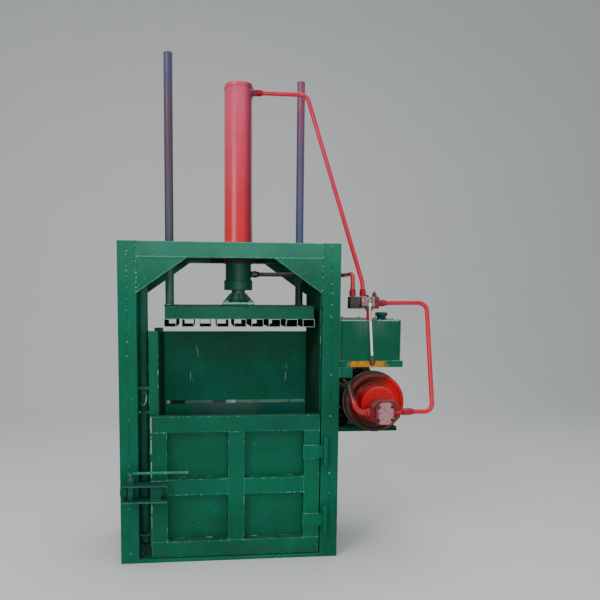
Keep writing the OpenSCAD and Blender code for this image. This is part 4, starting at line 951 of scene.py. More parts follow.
# --- spatter and weld drops on the columns and gussets, made pale as painted highlights
g = Geo()
for x0, z0, z1, gap in ((-0.544, 1.25, 1.572, 0.034), (-0.544, 0.05, 1.25, 0.150), (-0.500, 1.34, 1.575, 0.026),
                        (0.448, 1.28, 1.572, 0.050), (0.448, 0.05, 1.28, 0.190), (0.404, 1.35, 1.575, 0.040)):
    z = z0
    while z < z1:
        r = rnd.uniform(0.0030, 0.0052)
        k = 1 if x0 == -0.500 else (-1 if x0 == 0.404 else 0)
        g.blob((x0 + k * 0.001 + rnd.uniform(-0.0026, 0.0026), YF - 0.0004 if k == 0 or z > 1.505 else -0.2344, z), r, r * 0.62, r * rnd.uniform(0.9, 1.3), None, 9, 6)
        z += gap * rnd.uniform(0.45, 1.7)
for k, x in ((1, -0.500), (-1, 0.404)):
    t = 0.01
    while t < 0.232:
        r = rnd.uniform(0.0012, 0.0026)
        g.blob((x + k * t, YF + 0.0005, 1.5035 + rnd.uniform(-0.001, 0.001)), r * 1.7, r, r, None, 8, 5)
        t += rnd.uniform(0.010, 0.036)
for i in range(170):
    x0 = rnd.choice((-0.544, -0.544, 0.448, -0.500, 0.404))
    z = rnd.uniform(0.05, 1.57) if x0 in (-0.544, 0.448) else rnd.uniform(1.33, 1.57)
    x = x0 + rnd.gauss(0, 0.016)
    if x0 == -0.544:
        x = min(max(x, -0.582), -0.505)
    elif x0 == 0.448:
        x = min(max(x, 0.409), 0.487)
    onto = YF
    if x0 == -0.500:
        x = min(x, -0.470)
        if x > -0.503 and z < 1.506:
            if x < -0.498 or (1.504 - z) + (x + 0.5) * 0.71 > 0.155:
                continue
            onto = -0.233
    if x0 == 0.404:
        x = max(x, 0.376)
        if x < 0.407 and z < 1.506:
            if x > 0.402 or (1.504 - z) + (0.404 - x) * 0.71 > 0.155:
                continue
            onto = -0.233
    r = rnd.uniform(0.0009, 0.0018)
    g.blob((x, onto, z), r, r * 0.7, r, None, 6, 4)
g.make("weld_spatter", "frame", M["drops"])

# --- welds inside the head, chamber and rear
g = Geo()
for s in (-1, 1):
    for z, rr_ in ((1.530, 0.0315), (1.545, 0.0315)):
        for i in range(30):
            a = 2 * math.pi * i / 30
            g.blob((s * 0.347 + rr_ * math.cos(a), s * 0.150 + rr_ * math.sin(a), z), 0.0042, 0.0042, 0.003, None, 6, 4)
for i in range(64):
    a = 2 * math.pi * i / 64
    g.blob((0.0745 * math.cos(a), 0.0745 * math.sin(a), 1.5302), 0.0046, 0.0046, 0.004, None, 6, 4)
for x in (-0.130, 0.130):
    k = 1 if x < 0 else -1
    g.bead((x + k * 0.0005, -0.186, 1.5298), (x + k * 0.0005, 0.186, 1.5298), 0.0038, 0.0038, (k, 0, -1), 0.008)
for z in (0.100, 0.150, 0.420, 0.470, 0.740, 0.790, 1.060, 1.110):
    for a, b in ((-0.48, -0.30), (-0.12, 0.06), (0.22, 0.39)):
        g.bead((a, 0.2095, z), (b, 0.2095, z), 0.0034, 0.0030, (0, 1, -1 if z in (0.100, 0.420, 0.740, 1.060) else 1), 0.0085)
for z in (0.128, 0.750):
    g.bead((-0.498, -0.1905, z), (-0.452, -0.1905, z), 0.0026, 0.0022, (0, -1, 0.6), 0.006)
g.bead((-0.404, -0.1912, 0.07), (-0.404, -0.1912, 1.124), 0.0030, 0.0020, FRONT, 0.0085, skip=0.1)
g.bead((0.404, -0.1912, 0.74), (0.404, -0.1912, 1.395), 0.0030, 0.0020, FRONT, 0.0085, skip=0.1)
g.make("inner_weld_beads", "frame", M["weld_dark"])

# --- welds of the door, its straps and the latch plates
g = Geo()
YD = -0.237
for x0, x1 in ((-0.438, -0.361), (0.319, 0.396)):
    g.bead((x0, YD, 0.654), (x1, YD, 0.654), 0.0022, 0.0013, FRONT, 0.0050, skip=0.05)
    g.bead((x0, YD, 0.105), (x1, YD, 0.105), 0.0022, 0.0012, FRONT, 0.0050, skip=0.1)
for x in (-0.360, -0.061, 0.019, 0.318):
    g.bead((x, YD, 0.342), (x, YD, 0.417), 0.0022, 0.0012, FRONT, 0.0050, skip=0.08)
for z in (0.105, 0.654):
    g.bead((-0.059, YD, z), (0.017, YD, z), 0.0022, 0.0012, FRONT, 0.0050, skip=0.08)
for z in (0.166, 0.228, 0.516, 0.578):
    top = z in (0.228, 0.578)
    g.bead((0.317, YD - 0.001, z + (0.001 if top else -0.001)), (0.396, YD - 0.001, z + (0.001 if top else -0.001)), 0.0034, 0.0036, (0, -1, 0.8 if top else -0.8), 0.0056)
for z in (0.168, 0.226), (0.518, 0.576):
    g.bead((0.3155, YD - 0.001, z[0]), (0.3155, YD - 0.001, z[1]), 0.0034, 0.0034, (-0.8, -1, 0), 0.0056)
for z, u in ((0.4135, 0.8), (0.3255, -0.8)):
    g.bead((-0.438, YD - 0.0005, z), (-0.360, YD - 0.0005, z), 0.0036, 0.0036, (0, -1, u), 0.0058)
for z, u in ((0.4045, -1), (0.3345, 1)):
    g.bead((-0.437, -0.2785, z), (-0.391, -0.2785, z), 0.0030, 0.0030, (0, -1, u), 0.0058)
g.bead((-0.3885, YD - 0.0005, 0.336), (-0.3885, YD - 0.0005, 0.403), 0.0030, 0.0030, (1, -1, 0), 0.0058)
# a few stitches where the panel meets the channels
for x0, x1, z0, z1 in ((-0.360, -0.061, 0.105, 0.3395), (0.019, 0.318, 0.105, 0.3395), (-0.360, -0.061, 0.4195, 0.654), (0.019, 0.318, 0.4195, 0.654)):
    for a in (rnd.uniform(0.02, 0.06), rnd.uniform(0.18, 0.23)):
        ln = rnd.uniform(0.018, 0.034)
        g.bead((x0 + a, -0.1973, z0 + 0.0008), (x0 + a + ln, -0.1973, z0 + 0.0008), 0.0024, 0.0020, (0, -1, 1), 0.0058)
        g.bead((x0 + a + 0.02, -0.1973, z1 - 0.0008), (x0 + a + 0.02 + ln, -0.1973, z1 - 0.0008), 0.0024, 0.0020, (0, -1, -1), 0.0058)
g.make("door_weld_beads", "door", M["weld"])
g = Geo()
for x, z in ((-0.361, 0.418), (-0.30, 0.4195), (0.020, 0.4190), (0.06, 0.4198), (0.18, 0.4196), (0.312, 0.4200), (0.316, 0.4190), (-0.245, 0.4197), (-0.075, 0.4193),
             (-0.357, 0.1045), (-0.06, 0.1045), (-0.052, 0.1040), (0.016, 0.1042), (0.148, 0.1050), (0.160, 0.1046), (0.325, 0.1040), (0.34, 0.1046),
             (0.330, 0.6545), (0.352, 0.6560), (0.371, 0.6580), (-0.432, 0.6545), (-0.41, 0.6543), (-0.372, 0.6541)):
    for q in range(3):
        r = rnd.uniform(0.0012, 0.0024)
        g.blob((x + rnd.uniform(-0.006, 0.006), YD - 0.0004, z + rnd.uniform(-0.001, 0.001)), r * 1.8, r * 0.8, r, None, 8, 5)
for zt in (0.578, 0.228):
    for q in range(16):
        r = rnd.uniform(0.0012, 0.0022)
        g.blob((0.319 + q * 0.0048 + rnd.uniform(-0.001, 0.001), YD - 0.0050, zt + 0.0016), r * 2.0, r, r, None, 8, 5)
for q in range(12):
    r = rnd.uniform(0.0012, 0.0024)
    g.blob((-0.436 + q * 0.0062, YD - 0.0040, 0.3262 + rnd.uniform(-0.001, 0.002)), r * 2.0, r, r, None, 8, 5)
for q in range(36):
    x, z = rnd.uniform(-0.43, 0.39), rnd.choice((rnd.uniform(0.66, 0.73), rnd.uniform(0.03, 0.10), rnd.uniform(0.345, 0.415)))
    r = rnd.uniform(0.0008, 0.0014)
    g.blob((x, YD, z), r, r * 0.7, r, None, 6, 4)
g.make("door_weld_drops", "door", M["drops"])

# --- hinge and column side welds
g = Geo()
for zs in ((0.128, 0.163), (0.231, 0.265), (0.479, 0.513), (0.581, 0.615)):
    g.bead((0.4345, -0.2358, zs[0]), (0.4345, -0.2358, zs[1]), 0.0028, 0.0028, (1, -1, 0), 0.0052)
    g.bead((0.4175, -0.2358, zs[0]), (0.4175, -0.2358, zs[1]), 0.0028, 0.0028, (-1, -1, 0), 0.0052)
g.bead((-0.5615, -0.2358, 0.353), (-0.5615, -0.2358, 0.385), 0.0028, 0.0028, (1, -1, 0), 0.005)
g.make("hinge_weld_beads", "frame", M["weld"])

# --- curved filler strip between the left column and the chamber post
g = Geo()
prof = [(-0.4996, -0.1260), (-0.4975, -0.1385), (-0.4920, -0.1440), (-0.4840, -0.1462), (-0.4760, -0.1466), (-0.4680, -0.1455), (-0.4610, -0.1415), (-0.4568, -0.1330),
        (-0.4560, -0.1230), (-0.4590, -0.1230), (-0.4600, -0.1320), (-0.4636, -0.1385), (-0.4690, -0.1420), (-0.4760, -0.1432), (-0.4840, -0.1428), (-0.4905, -0.1410), (-0.4945, -0.1370), (-0.4966, -0.1260)]
k = len(prof)
rows = [0.066 + (1.392 - 0.066) * i / 24 for i in range(25)]
verts = [(x + (0.0006 * math.sin(z * 9.0) if 0 < i % k < k - 1 else 0), y, z) for z in rows for i, (x, y) in enumerate(prof)]
g.add(verts, [(i * k + j, i * k + (j + 1) % k, (i + 1) * k + (j + 1) % k, (i + 1) * k + j) for i in range(len(rows) - 1) for j in range(k)])
for o, z in ((0, 0), (1, len(rows) - 1)):
    h = k // 2
    for j in range(h - 1):
        q = [z * k + j, z * k + j + 1, z * k + k - 2 - j, z * k + k - 1 - j]
        g.add([verts[a] for a in q], [(0, 1, 2, 3) if o else (3, 2, 1, 0)], False)
for z in (0.09, 0.30, 0.55, 0.95, 1.20):
    g.bead((-0.4985, -0.1330, z), (-0.4985, -0.1330, z + 0.05), 0.0026, 0.0024, (0.7, -1, 0), 0.006)
g.make("gap_lining", "frame", M["lining"])

# --- folded toe strip that closes the foot of the left gap
g = Geo()
prof = [(-0.1795, 0.0195), (-0.1780, 0.0225), (-0.1745, 0.0250), (-0.1590, 0.0560), (-0.1560, 0.0590), (-0.1510, 0.0602), (-0.1450, 0.0603), (-0.1450, 0.0625),
        (-0.1515, 0.0626), (-0.1578, 0.0612), (-0.1612, 0.0574), (-0.1766, 0.0268), (-0.1812, 0.0235), (-0.1822, 0.0205)]
k = len(prof)
cols = [-0.4992 + 0.0487 * i / 8 for i in range(9)]
verts = [(x, y, z + 0.0004 * math.sin(i * 1.9)) for i, x in enumerate(cols) for y, z in prof]
g.add(verts, [(i * k + j, (i + 1) * k + j, (i + 1) * k + (j + 1) % k, i * k + (j + 1) % k) for i in range(len(cols) - 1) for j in range(k)])
for o, i in ((0, 0), (1, len(cols) - 1)):
    for j in range(k // 2 - 1):
        q = [i * k + j, i * k + j + 1, i * k + k - 2 - j, i * k + k - 1 - j]
        g.add([verts[a] for a in q], [(3, 2, 1, 0) if o else (0, 1, 2, 3)], False)
g.bead((-0.4985, -0.1830, 0.0208), (-0.4515, -0.1830, 0.0208), 0.0026, 0.0022, (0, -1, 1), 0.006)
g.blob((-0.4880, -0.1745, 0.0400), 0.0050, 0.0040, 0.0085, None, 10, 6)
g.make("gap_toe_strip", "frame", M["toe"])

# --- hook and ring hanging in the gap left of the chamber
g = Geo()
hook = [(-0.478, -0.186, 0.842), (-0.472, -0.189, 0.846), (-0.465, -0.190, 0.843), (-0.462, -0.190, 0.834), (-0.462, -0.190, 0.815),
        (-0.464, -0.190, 0.800), (-0.470, -0.191, 0.789), (-0.478, -0.192, 0.784), (-0.486, -0.192, 0.788), (-0.489, -0.191, 0.798)]
g.tube(hook, 0.0042, 10)
link = [(-0.4725 + 0.010 * math.cos(t), -0.1885, 0.856 + 0.015 * math.sin(t)) for t in [2 * math.pi * i / 20 for i in range(21)]]
g.tube(link, 0.0030, 8, cap=False)
g.box(-0.500, -0.4495, -0.190, -0.182, 0.862, 0.874, 0.001)
g.tube([(-0.4725, -0.1905, 0.868), (-0.4725, -0.1815, 0.868)], 0.0045, 10)
for i in range(5):
    g.blob((-0.488 + 0.007 * i, -0.1905, 0.8745), 0.004, 0.003, 0.003, None, 6, 4)
g.make("gap_hook", "frame", M["hook"])

# --- head: bolts and washers of the seat plate
g = Geo()
for sx in (-1, 1):
    for sy in (-1, 1):
        g.hexhead(frame_at((sx * 0.082, sy * 0.082, 1.5750), UP), 0.0125, 0.0095, 0.0165)
g.make("flange_bolts_top", "frame", M["union"])

# --- cylinder: end weld ring, seat weld, bleed plug
g = Geo()
for i in range(76):
    a = 2 * math.pi * i / 76
    g.blob((0.0731 * math.cos(a), 0.0731 * math.sin(a), 2.3722), 0.0030, 0.0030, 0.0022, None, 6, 4)
    g.blob((0.0738 * math.cos(a), 0.0738 * math.sin(a), 1.5762), 0.0040, 0.0040, 0.0034, None, 6, 4)
for i in range(22):
    a = 2 * math.pi * i / 22
    g.blob((0.0725, 0.0172 * math.cos(a), 2.3545 + 0.0168 * math.sin(a)), 0.0030, 0.0030, 0.0030, None, 6, 4)
g.make("cylinder_weld_rings", "frame", M["barrel"])

# --- gland: spanner slots
g = Geo()
for i in range(8):
    a = 2 * math.pi * i / 8 + 0.2
    c, s_ = math.cos(a), math.sin(a)
    mtx = frame_at((0.0735 * c, 0.0735 * s_, 1.392), (c, s_, 0), (0, 0, 1))
    g.revolve([(0.0052, -0.002), (0.0052, 0.0012), (0.0040, 0.0018), (0.0018, 0.0018), (0.0018, 0.0004), (0, 0.0004)], mtx, 12, False)
g.make("gland_screws", "frame", M["gland"])

# --- rod flange welds and rib welds
g = Geo()
for i in range(40):
    a = 2 * math.pi * i / 40
    g.blob((0.0505 * math.cos(a), 0.0505 * math.sin(a), 1.2902), 0.0034, 0.0034, 0.003, None, 6, 4)
    g.blob((0.0357 * math.cos(a), 0.0357 * math.sin(a), 1.3024), 0.003, 0.003, 0.003, None, 6, 4)
for q in range(4):
    a = math.pi / 2 * q
    c, s_ = math.cos(a), math.sin(a)
    for k in (-1, 1):
        p0 = (0.050 * c - k * 0.0045 * s_, 0.050 * s_ + k * 0.0045 * c, 1.2902)
        p1 = (0.075 * c - k * 0.0045 * s_, 0.075 * s_ + k * 0.0045 * c, 1.2902)
        g.bead(p0, p1, 0.0024, 0.0024, (-k * s_, k * c, 1), 0.005)
g.bead((-0.078, -0.0802, 1.2765), (0.078, -0.0802, 1.2765), 0.0034, 0.0030, (0, -1, 0.7), 0.0058)
g.bead((-0.078, 0.0802, 1.2765), (0.078, 0.0802, 1.2765), 0.0034, 0.0030, (0, 1, 0.7), 0.0058)
for x in (-0.0802, 0.0802):
    g.bead((x, -0.078, 1.2765), (x, 0.078, 1.2765), 0.0034, 0.0030, (1 if x > 0 else -1, 0, 0.7), 0.0058)
for s in (-1, 1):
    for i in range(26):
        a = 2 * math.pi * i / 26
        g.blob((s * 0.347 + 0.0222 * math.cos(a), s * 0.150 + 0.0222 * math.sin(a), 1.2768), 0.0036, 0.0036, 0.0034, None, 6, 4)
g.make("platen_weld_beads", "platen", M["weld_dark"])

# --- platen: stitch welds between tubes and channels
g = Geo()
for i in range(9):
    x = (i - 4) * 0.086
    for y, f in ((-0.1795, -1), (0.1795, 1)):
        for dx in (-0.018, 0.004):
            g.bead((x + dx, y, 1.2078), (x + dx + 0.014, y, 1.2078), 0.0024, 0.0020, (0, f, 0.3), 0.005)
g.bead((-0.366, -0.1792, 1.2697), (0.366, -0.1792, 1.2697), 0.0026, 0.0022, (0, -1, -0.8), 0.0075, skip=0.35)
g.bead((-0.366, 0.1792, 1.2697), (0.366, 0.1792, 1.2697), 0.0026, 0.0022, (0, 1, -0.8), 0.0085, skip=0.35)
g.make("platen_stitch_welds", "platen", M["weld"])

# --- tank: corner welds, lid screws, level gauge plug
g = Geo()
for x in (0.497, 0.806):
    for y in (-0.215, 0.195):
        g.bead((x, y, 1.001), (x, y, 1.198), 0.0024, 0.0022, (-1 if x < 0.6 else 1, -1 if y < 0 else 1, 0), 0.0062)
g.bead((0.500, -0.2155, 1.0000), (0.803, -0.2155, 1.0000), 0.0026, 0.0024, (0, -1, -0.6), 0.0066, skip=0.12)
g.bead((0.556, -0.2353, 0.9215), (0.556, -0.2353, 0.965), 0.0022, 0.0020, (0.6, -1, 0), 0.0055)
g.bead((0.494, -0.234, 0.9682), (0.554, -0.234, 0.9682), 0.0026, 0.0024, (0, -0.6, 1), 0.0058)
g.bead((0.4925, -0.2345, 0.920), (0.4925, -0.2345, 0.966), 0.0028, 0.0026, (0.7, -1, 0), 0.0056)
g.make("tank_weld_beads", "frame", M["weld"])
g = Geo()
for x in (0.507, 0.603, 0.700, 0.796):
    for y in (-0.207, 0.187):
        g.hexhead(frame_at((x, y, 1.205), UP), 0.0050, 0.0042, 0.0068)
for y in (-0.11, -0.01, 0.09):
    g.hexhead(frame_at((0.507, y, 1.205), UP), 0.0050, 0.0042, 0.0068)
    g.hexhead(frame_at((0.796, y, 1.205), UP), 0.0050, 0.0042, 0.0068)
# drain plug on the right flank, level plugs
g.hexhead(frame_at((0.806, 0.10, 1.030), (1, 0, 0), (0, 0, 1)), 0.011, 0.009, 0.015)
for z in (1.08, 1.15):
    g.hexhead(frame_at((0.806, 0.06, z), (1, 0, 0), (0, 0, 1)), 0.0075, 0.006, 0.0105)
g.make("tank_screws", "frame", M["bolt_green"])
# filler cap: grip ribs
g = Geo()
for i in range(24):
    a = 2 * math.pi * i / 24
    c, s_ = math.cos(a), math.sin(a)
    g.tube([(0.738 + 0.0298 * c, -0.110 + 0.0298 * s_, 1.2245), (0.738 + 0.0298 * c, -0.110 + 0.0298 * s_, 1.2390)], 0.0016, 6)
g.revolve([(0.012, 0), (0.012, -0.0008), (0.010, 0.0008), (0, 0.0008)][1:], frame_at((0.738, -0.110, 1.2425), UP), 20)
g.make("filler_cap_ribs", "frame", M["cap"])

# --- bell housing bolts, motor eye, foot washers
g = Geo()
for i in range(8):
    a = 2 * math.pi * i / 8 + 0.39
    p = (0.667 + 0.1345 * math.cos(a), -0.2750, 0.798 + 0.1345 * math.sin(a))
    g.hexhead(frame_at(p, FRONT, (1, 0, 0)), 0.0062, 0.0050, 0.0)
g.make("bell_bolts", "frame", M["bell"])
g = Geo()
for i in range(8):
    a = 2 * math.pi * i / 8 + 0.39
    p = (0.667 + 0.1385 * math.cos(a), -0.199, 0.798 + 0.1385 * math.sin(a))
    g.hexhead(frame_at(p, (0, 1, 0), (1, 0, 0)), 0.0085, 0.0075, 0.0125)
eye = [(0.667, 0.0 + 0.019 * math.cos(t), 0.944 + 0.019 * math.sin(t)) for t in [2 * math.pi * i / 24 for i in range(25)]]
g.tube(eye, 0.0055, 10, cap=False)
g.revolve([(0.015, -0.004), (0.015, 0.002), (0.009, 0.005), (0.0065, 0.008), (0, 0.008)], frame_at((0.667, 0.0, 0.9185), UP), 20)
for i in range(6):
    a = 2 * math.pi * i / 6 + 0.3
    p = (0.667 + 0.1305 * math.cos(a), 0.172, 0.798 + 0.1305 * math.sin(a))
    g.blob(p, 0.005, 0.005, 0.005, None, 8, 5)
for y in (-0.055, 0.045):
    for z in (0.752, 0.844):
        g.hexhead(frame_at((0.840, y, z), (1, 0, 0), (0, 0, 1)), 0.0045, 0.0036, 0.0)
# second cast lifting lug, a rounded upright plate with a bored boss, right of the eye
lug = [(0.6790, 0.9000), (0.7310, 0.9000), (0.7280, 0.9160)] + [(0.7050 + 0.0215 * math.cos(t), 0.9235 + 0.0215 * math.sin(t)) for t in [math.pi * i / 14 for i in range(15)]] + [(0.6820, 0.9160)]
k = len(lug)
for y0, y1, q in ((0.0250, 0.0400, 1.0),):
    verts = []
    for y, e in ((y0, 0.94), (y0 + 0.002, 1.0), (y1 - 0.002, 1.0), (y1, 0.94)):
        verts += [(0.7050 + (x - 0.7050) * e, y, 0.9200 + (z - 0.9200) * e) for x, z in lug]
    g.add(verts, [(r * k + i, r * k + (i + 1) % k, (r + 1) * k + (i + 1) % k, (r + 1) * k + i) for r in range(3) for i in range(k)] + [tuple(range(k))[::-1], tuple(range(3 * k, 4 * k))], False)
g.revolve([(0.0125, -0.001), (0.0120, 0.0020), (0.0080, 0.0028), (0.0070, 0.0004), (0, 0.0004)], frame_at((0.7050, 0.0250, 0.9270), FRONT), 20)
g.make("motor_fixings", "frame", M["motor"])

# --- shelf: cross rib below the plate, just behind the clearance for the flange
g = Geo()
g.box(0.4975, 0.7855, -0.1866, -0.1816, 0.6364, 0.6604, 0.0012)
g.bead((0.5050, -0.1868, 0.6598), (0.5650, -0.1868, 0.6598), 0.0030, 0.0026, (0, -1, -0.6), 0.006)
g.bead((0.6300, -0.1868, 0.6598), (0.7000, -0.1868, 0.6598), 0.0030, 0.0026, (0, -1, -0.6), 0.006)
g.bead((0.7400, -0.1868, 0.6598), (0.7800, -0.1868, 0.6598), 0.0030, 0.0026, (0, -1, -0.6), 0.006)
for x in (0.5850, 0.7150):
    g.box(x - 0.0025, x + 0.0025, -0.1822, -0.1400, 0.6500, 0.6604, 0.0010)
g.make("shelf_rib", "frame", M["shelf"])

# --- shelf: folded rear lip cut to clear the fan cover
g = Geo()
arc = []
for i in range(1, 13):
    x = 0.5715 + 0.0685 * i / 12
    arc.append((x, 0.798 - math.sqrt(0.1304 ** 2 - (x - 0.667) ** 2)))
for flip in (False, True):
    if flip:
        top = [(0.7900, 0.7030), (0.7870, 0.7065), (0.7640, 0.7085)] + [(1.334 - x, z) for x, z in arc]
        low = [(0.6940, 0.6655), (0.7900, 0.6655)]
    else:
        top = [(0.4965, 0.7020), (0.5000, 0.7060), (0.5700, 0.7085)] + arc
        low = [(0.6400, 0.6655), (0.4965, 0.6655)]
    ring = top + low
    k = len(ring)
    verts = [(x, y, z) for y in (0.1512, 0.1592) for x, z in ring]
    g.add(verts, [(i, (i + 1) % k, (i + 1) % k + k, i + k) for i in range(k)], False)
    # front and back faces as strips between the curved top and the straight foot
    for off in (0, k):
        n = len(top)
        foot = []
        o = len(g.v)
        for i in range(n):
            x = ring[i][0]
            foot.append((x, 0.1512 if off == 0 else 0.1592, 0.6655))
        g.add([verts[off + i] for i in range(n)] + foot, [(i, i + 1, n + i + 1, n + i) for i in range(n - 1)], False)
for x in (0.520, 0.548, 0.772):
    g.hexhead(frame_at((x, 0.1512, 0.688), FRONT), 0.0055, 0.0045, 0.0080)
g.make("shelf_lip", "frame", M["shelf"])

# --- pump: cast shoulder behind the cover, with a bolt lug each side
g = Geo()
w, hh, c = 0.0740, 0.0590, 0.0350
ring = [(-w, -hh + c), (-w + c, -hh), (w - c, -hh), (w, -hh + c), (w, hh - c), (w - c, hh), (-w + c, hh), (-w, hh - c)]
rows = [(-0.3505, 0.90), (-0.3560, 0.985), (-0.3600, 1.0), (-0.3960, 1.0), (-0.4010, 0.975), (-0.4040, 0.93)]
verts = [(0.6795 + x * q, y, 0.7735 + z * q) for y, q in rows for x, z in ring]
faces = [(i * 8 + j, i * 8 + (j + 1) % 8, (i + 1) * 8 + (j + 1) % 8, (i + 1) * 8 + j) for i in range(len(rows) - 1) for j in range(8)]
faces += [tuple(reversed(range(8))), tuple(range((len(rows) - 1) * 8, len(rows) * 8))]
g.add(verts, faces, False)
for sx in (-1, 1):
    for sz in (-1, 1):
        g.revolve([(0.0090, -0.002), (0.0090, 0.003), (0.0076, 0.0045), (0, 0.0045)], frame_at((0.6795 + sx * 0.0560, -0.4035, 0.7735 + sz * 0.0190), FRONT), 18, False)
g.make("pump_shoulder", "frame", M["pump"])

# --- pump: cast ribs on the cover, port rings
g = Geo()
for z in (0.752, 0.798):
    g.revolve([(0.0135, -0.002), (0.0135, 0.0016), (0.0118, 0.0030), (0.0060, 0.0030), (0.0052, 0.0018), (0, 0.0018)], frame_at((0.667, -0.435, z), FRONT), 28)
for a, b in (((0.637, 0.775), (0.6515, 0.775)), ((0.6825, 0.775), (0.697, 0.775))):
    g.tube([(a[0], -0.4345, a[1]), (b[0], -0.4345, b[1])], 0.0028, 8)
g.make("pump_cover_bosses", "frame", M["pump_face"])
g = Geo()
g.revolve([(0.020, -0.003), (0.020, 0.012), (0.0185, 0.0135), (0.0115, 0.0135)], frame_at((0.711, -0.395, 0.775), (1, 0, 0)), 28)
for s in (-1, 1):
    for t in (-1, 1):
        g.hexhead(frame_at((0.6062, -0.3935 + s * 0.0170, 0.775 + t * 0.0225), (-1, 0, 0), (0, 0, 1)), 0.0045, 0.0042, 0.0)
g.make("pump_port_rings", "frame", M["pump"])

# --- valve: spring cap, relief cartridge, plugs, bright guard bow over the lever pivot
g = Geo()
g.revolve([(0.0155, -0.002), (0.0155, 0.010), (0.0130, 0.013), (0.0130, 0.030), (0.0112, 0.033), (0, 0.033)], frame_at((0.637, -0.139, 1.300), (0, 1, 0)), 28)
g.hexhead(frame_at((0.612, -0.225, 1.282), FRONT), 0.0070, 0.006, 0.0)


def bow(x0, x1, out, inn):
    """Flat bar bent to a profile in the YZ plane, given by its outer and inner edge."""
    ring = out + inn[::-1]
    k = len(ring)
    verts = [(x0, y, z) for y, z in ring] + [(x1, y, z) for y, z in ring]
    faces = [(i, i + k, (i + 1) % k + k, (i + 1) % k) for i in range(k)]
    h = len(out)
    for i in range(h - 1):
        a, b, c, d = i, i + 1, k - 2 - i, k - 1 - i
        faces.append((a, b, c, d))
        faces.append((d + k, c + k, b + k, a + k))
    g.add(verts, faces, False)


out = [(-0.2240, 1.3215), (-0.2330, 1.3240), (-0.2430, 1.3235), (-0.2520, 1.3180), (-0.2580, 1.3090), (-0.2600, 1.2980), (-0.2580, 1.2860), (-0.2540, 1.2760)]
inn = [(-0.2240, 1.3165), (-0.2325, 1.3190), (-0.2415, 1.3185), (-0.2485, 1.3140), (-0.2532, 1.3065), (-0.2550, 1.2975), (-0.2533, 1.2875), (-0.2498, 1.2785)]
bow(0.6135, 0.6185, out, inn)
bow(0.6510, 0.6560, out, inn)
# slanting bow from the port end to the crown
pts = []
for i in range(13):
    t = i / 12
    pts.append((0.6045 + 0.046 * t, -0.2290 - 0.012 * math.sin(math.pi * t), 1.2790 + 0.0400 * math.sin(math.pi * 0.5 * min(1, t * 1.15))))
g.tube(pts, 0.0042, 10)
g.tube([(0.6135, -0.243, 1.283), (0.6605, -0.243, 1.283)], 0.0050, 12)
g.revolve([(0.0085, 0), (0.0085, 0.004), (0.0060, 0.006), (0, 0.006)], frame_at((0.6100, -0.226, 1.3005), FRONT), 6, False)
g.make("valve_fittings", "frame", M["bare"])
g = Geo()
g.revolve([(0.0125, -0.003), (0.0125, 0.008), (0.0108, 0.010), (0.0108, 0.016), (0.0070, 0.020), (0.0045, 0.020), (0.0045, 0.026), (0.0030, 0.0275), (0, 0.0275)], frame_at((0.6735, -0.196, 1.3215), UP), 6, False)
g.hexhead(frame_at((0.644, -0.165, 1.322), UP), 0.0085, 0.007, 0.0115)
g.revolve([(0.0115, -0.002), (0.0115, 0.004), (0.0095, 0.006), (0.0060, 0.006), (0.0050, 0.004), (0, 0.004)], frame_at((0.6755, -0.225, 1.3000), FRONT), 6, False)
g.blob((0.6835, -0.2255, 1.2760), 0.0050, 0.003, 0.0050, None, 8, 5)
g.make("relief_cartridge", "frame", M["relief"])

# --- unions: collars and thread ends on the pipes
g = Geo()


def collar(p, d, r0=0.0110, r1=0.0142, l=0.012):
    g.revolve([(r0 * 0.9, 0), (r1, 0.0012), (r1, l - 0.002), (r0 * 1.02, l), (r0 * 0.9, l)], frame_at(p, d, (0.3, 0.5, 0.2)), 20)


collar((0.61440, -0.190, 1.3498), (-0.057, 0, 0.998))
collar((0.563, -0.190, 1.350), UP)
collar((0.726, -0.190, 1.29128), (1, 0, 0.0078))
collar((0.765, -0.395, 0.775), (-1, 0, 0))
collar((0.805, -0.395, 0.775), (1, 0, 0))
collar((0.097, 0, 1.436), (1, 0, 0))
collar((0.112, 0, 2.358), (1, 0, 0))
for c, d in (((0.0865, 0, 2.358), (1, 0, 0)), ((0.0667, 0, 1.436), (1, 0, 0))):
    g.revolve([(0.0165, -0.001), (0.0165, 0.003), (0.0140, 0.005), (0.0118, 0.005)], frame_at(c, d, (0, 0, 1)), 24)
g.make("pipe_collars", "frame", M["union"])

# --- guide rods: chamfered caps with a small ring
g = Geo()
for s in (-1, 1):
    c = (s * 0.347, s * 0.150)
    g.revolve([(0.0212, 0), (0.0218, 0.0015), (0.0218, 0.006), (0.0208, 0.0085), (0.0160, 0.0090), (0, 0.0090)], frame_at((c[0], c[1], 2.4645), UP), 28)
g.make("rod_end_rings", "platen", M["rods"])

# --- latch bar: end rounding, thrust washer and split pin
g = Geo()
g.revolve([(0.0065, -0.001), (0.0063, 0.0010), (0.0052, 0.0024), (0.0030, 0.0032), (0, 0.0034)], frame_at((-0.256, -0.270, 0.466), (1, 0, 0)), 18)
g.revolve([(0.0065, -0.001), (0.0063, 0.0010), (0.0052, 0.0024), (0.0030, 0.0032), (0, 0.0034)], frame_at((-0.546, -0.270, 0.466), (-1, 0, 0)), 18)
for i in range(18):
    a = 2 * math.pi * i / 18
    g.blob((-0.532 + 0.0112 * math.cos(a), -0.270 + 0.0112 * math.sin(a), 0.4485), 0.0028, 0.0028, 0.0024, None, 6, 4)
g.tube([(-0.532, -0.2885, 0.3205), (-0.532, -0.2515, 0.3205)], 0.0024, 8)
g.make("latch_bar_ends", "latch", M["latch"])

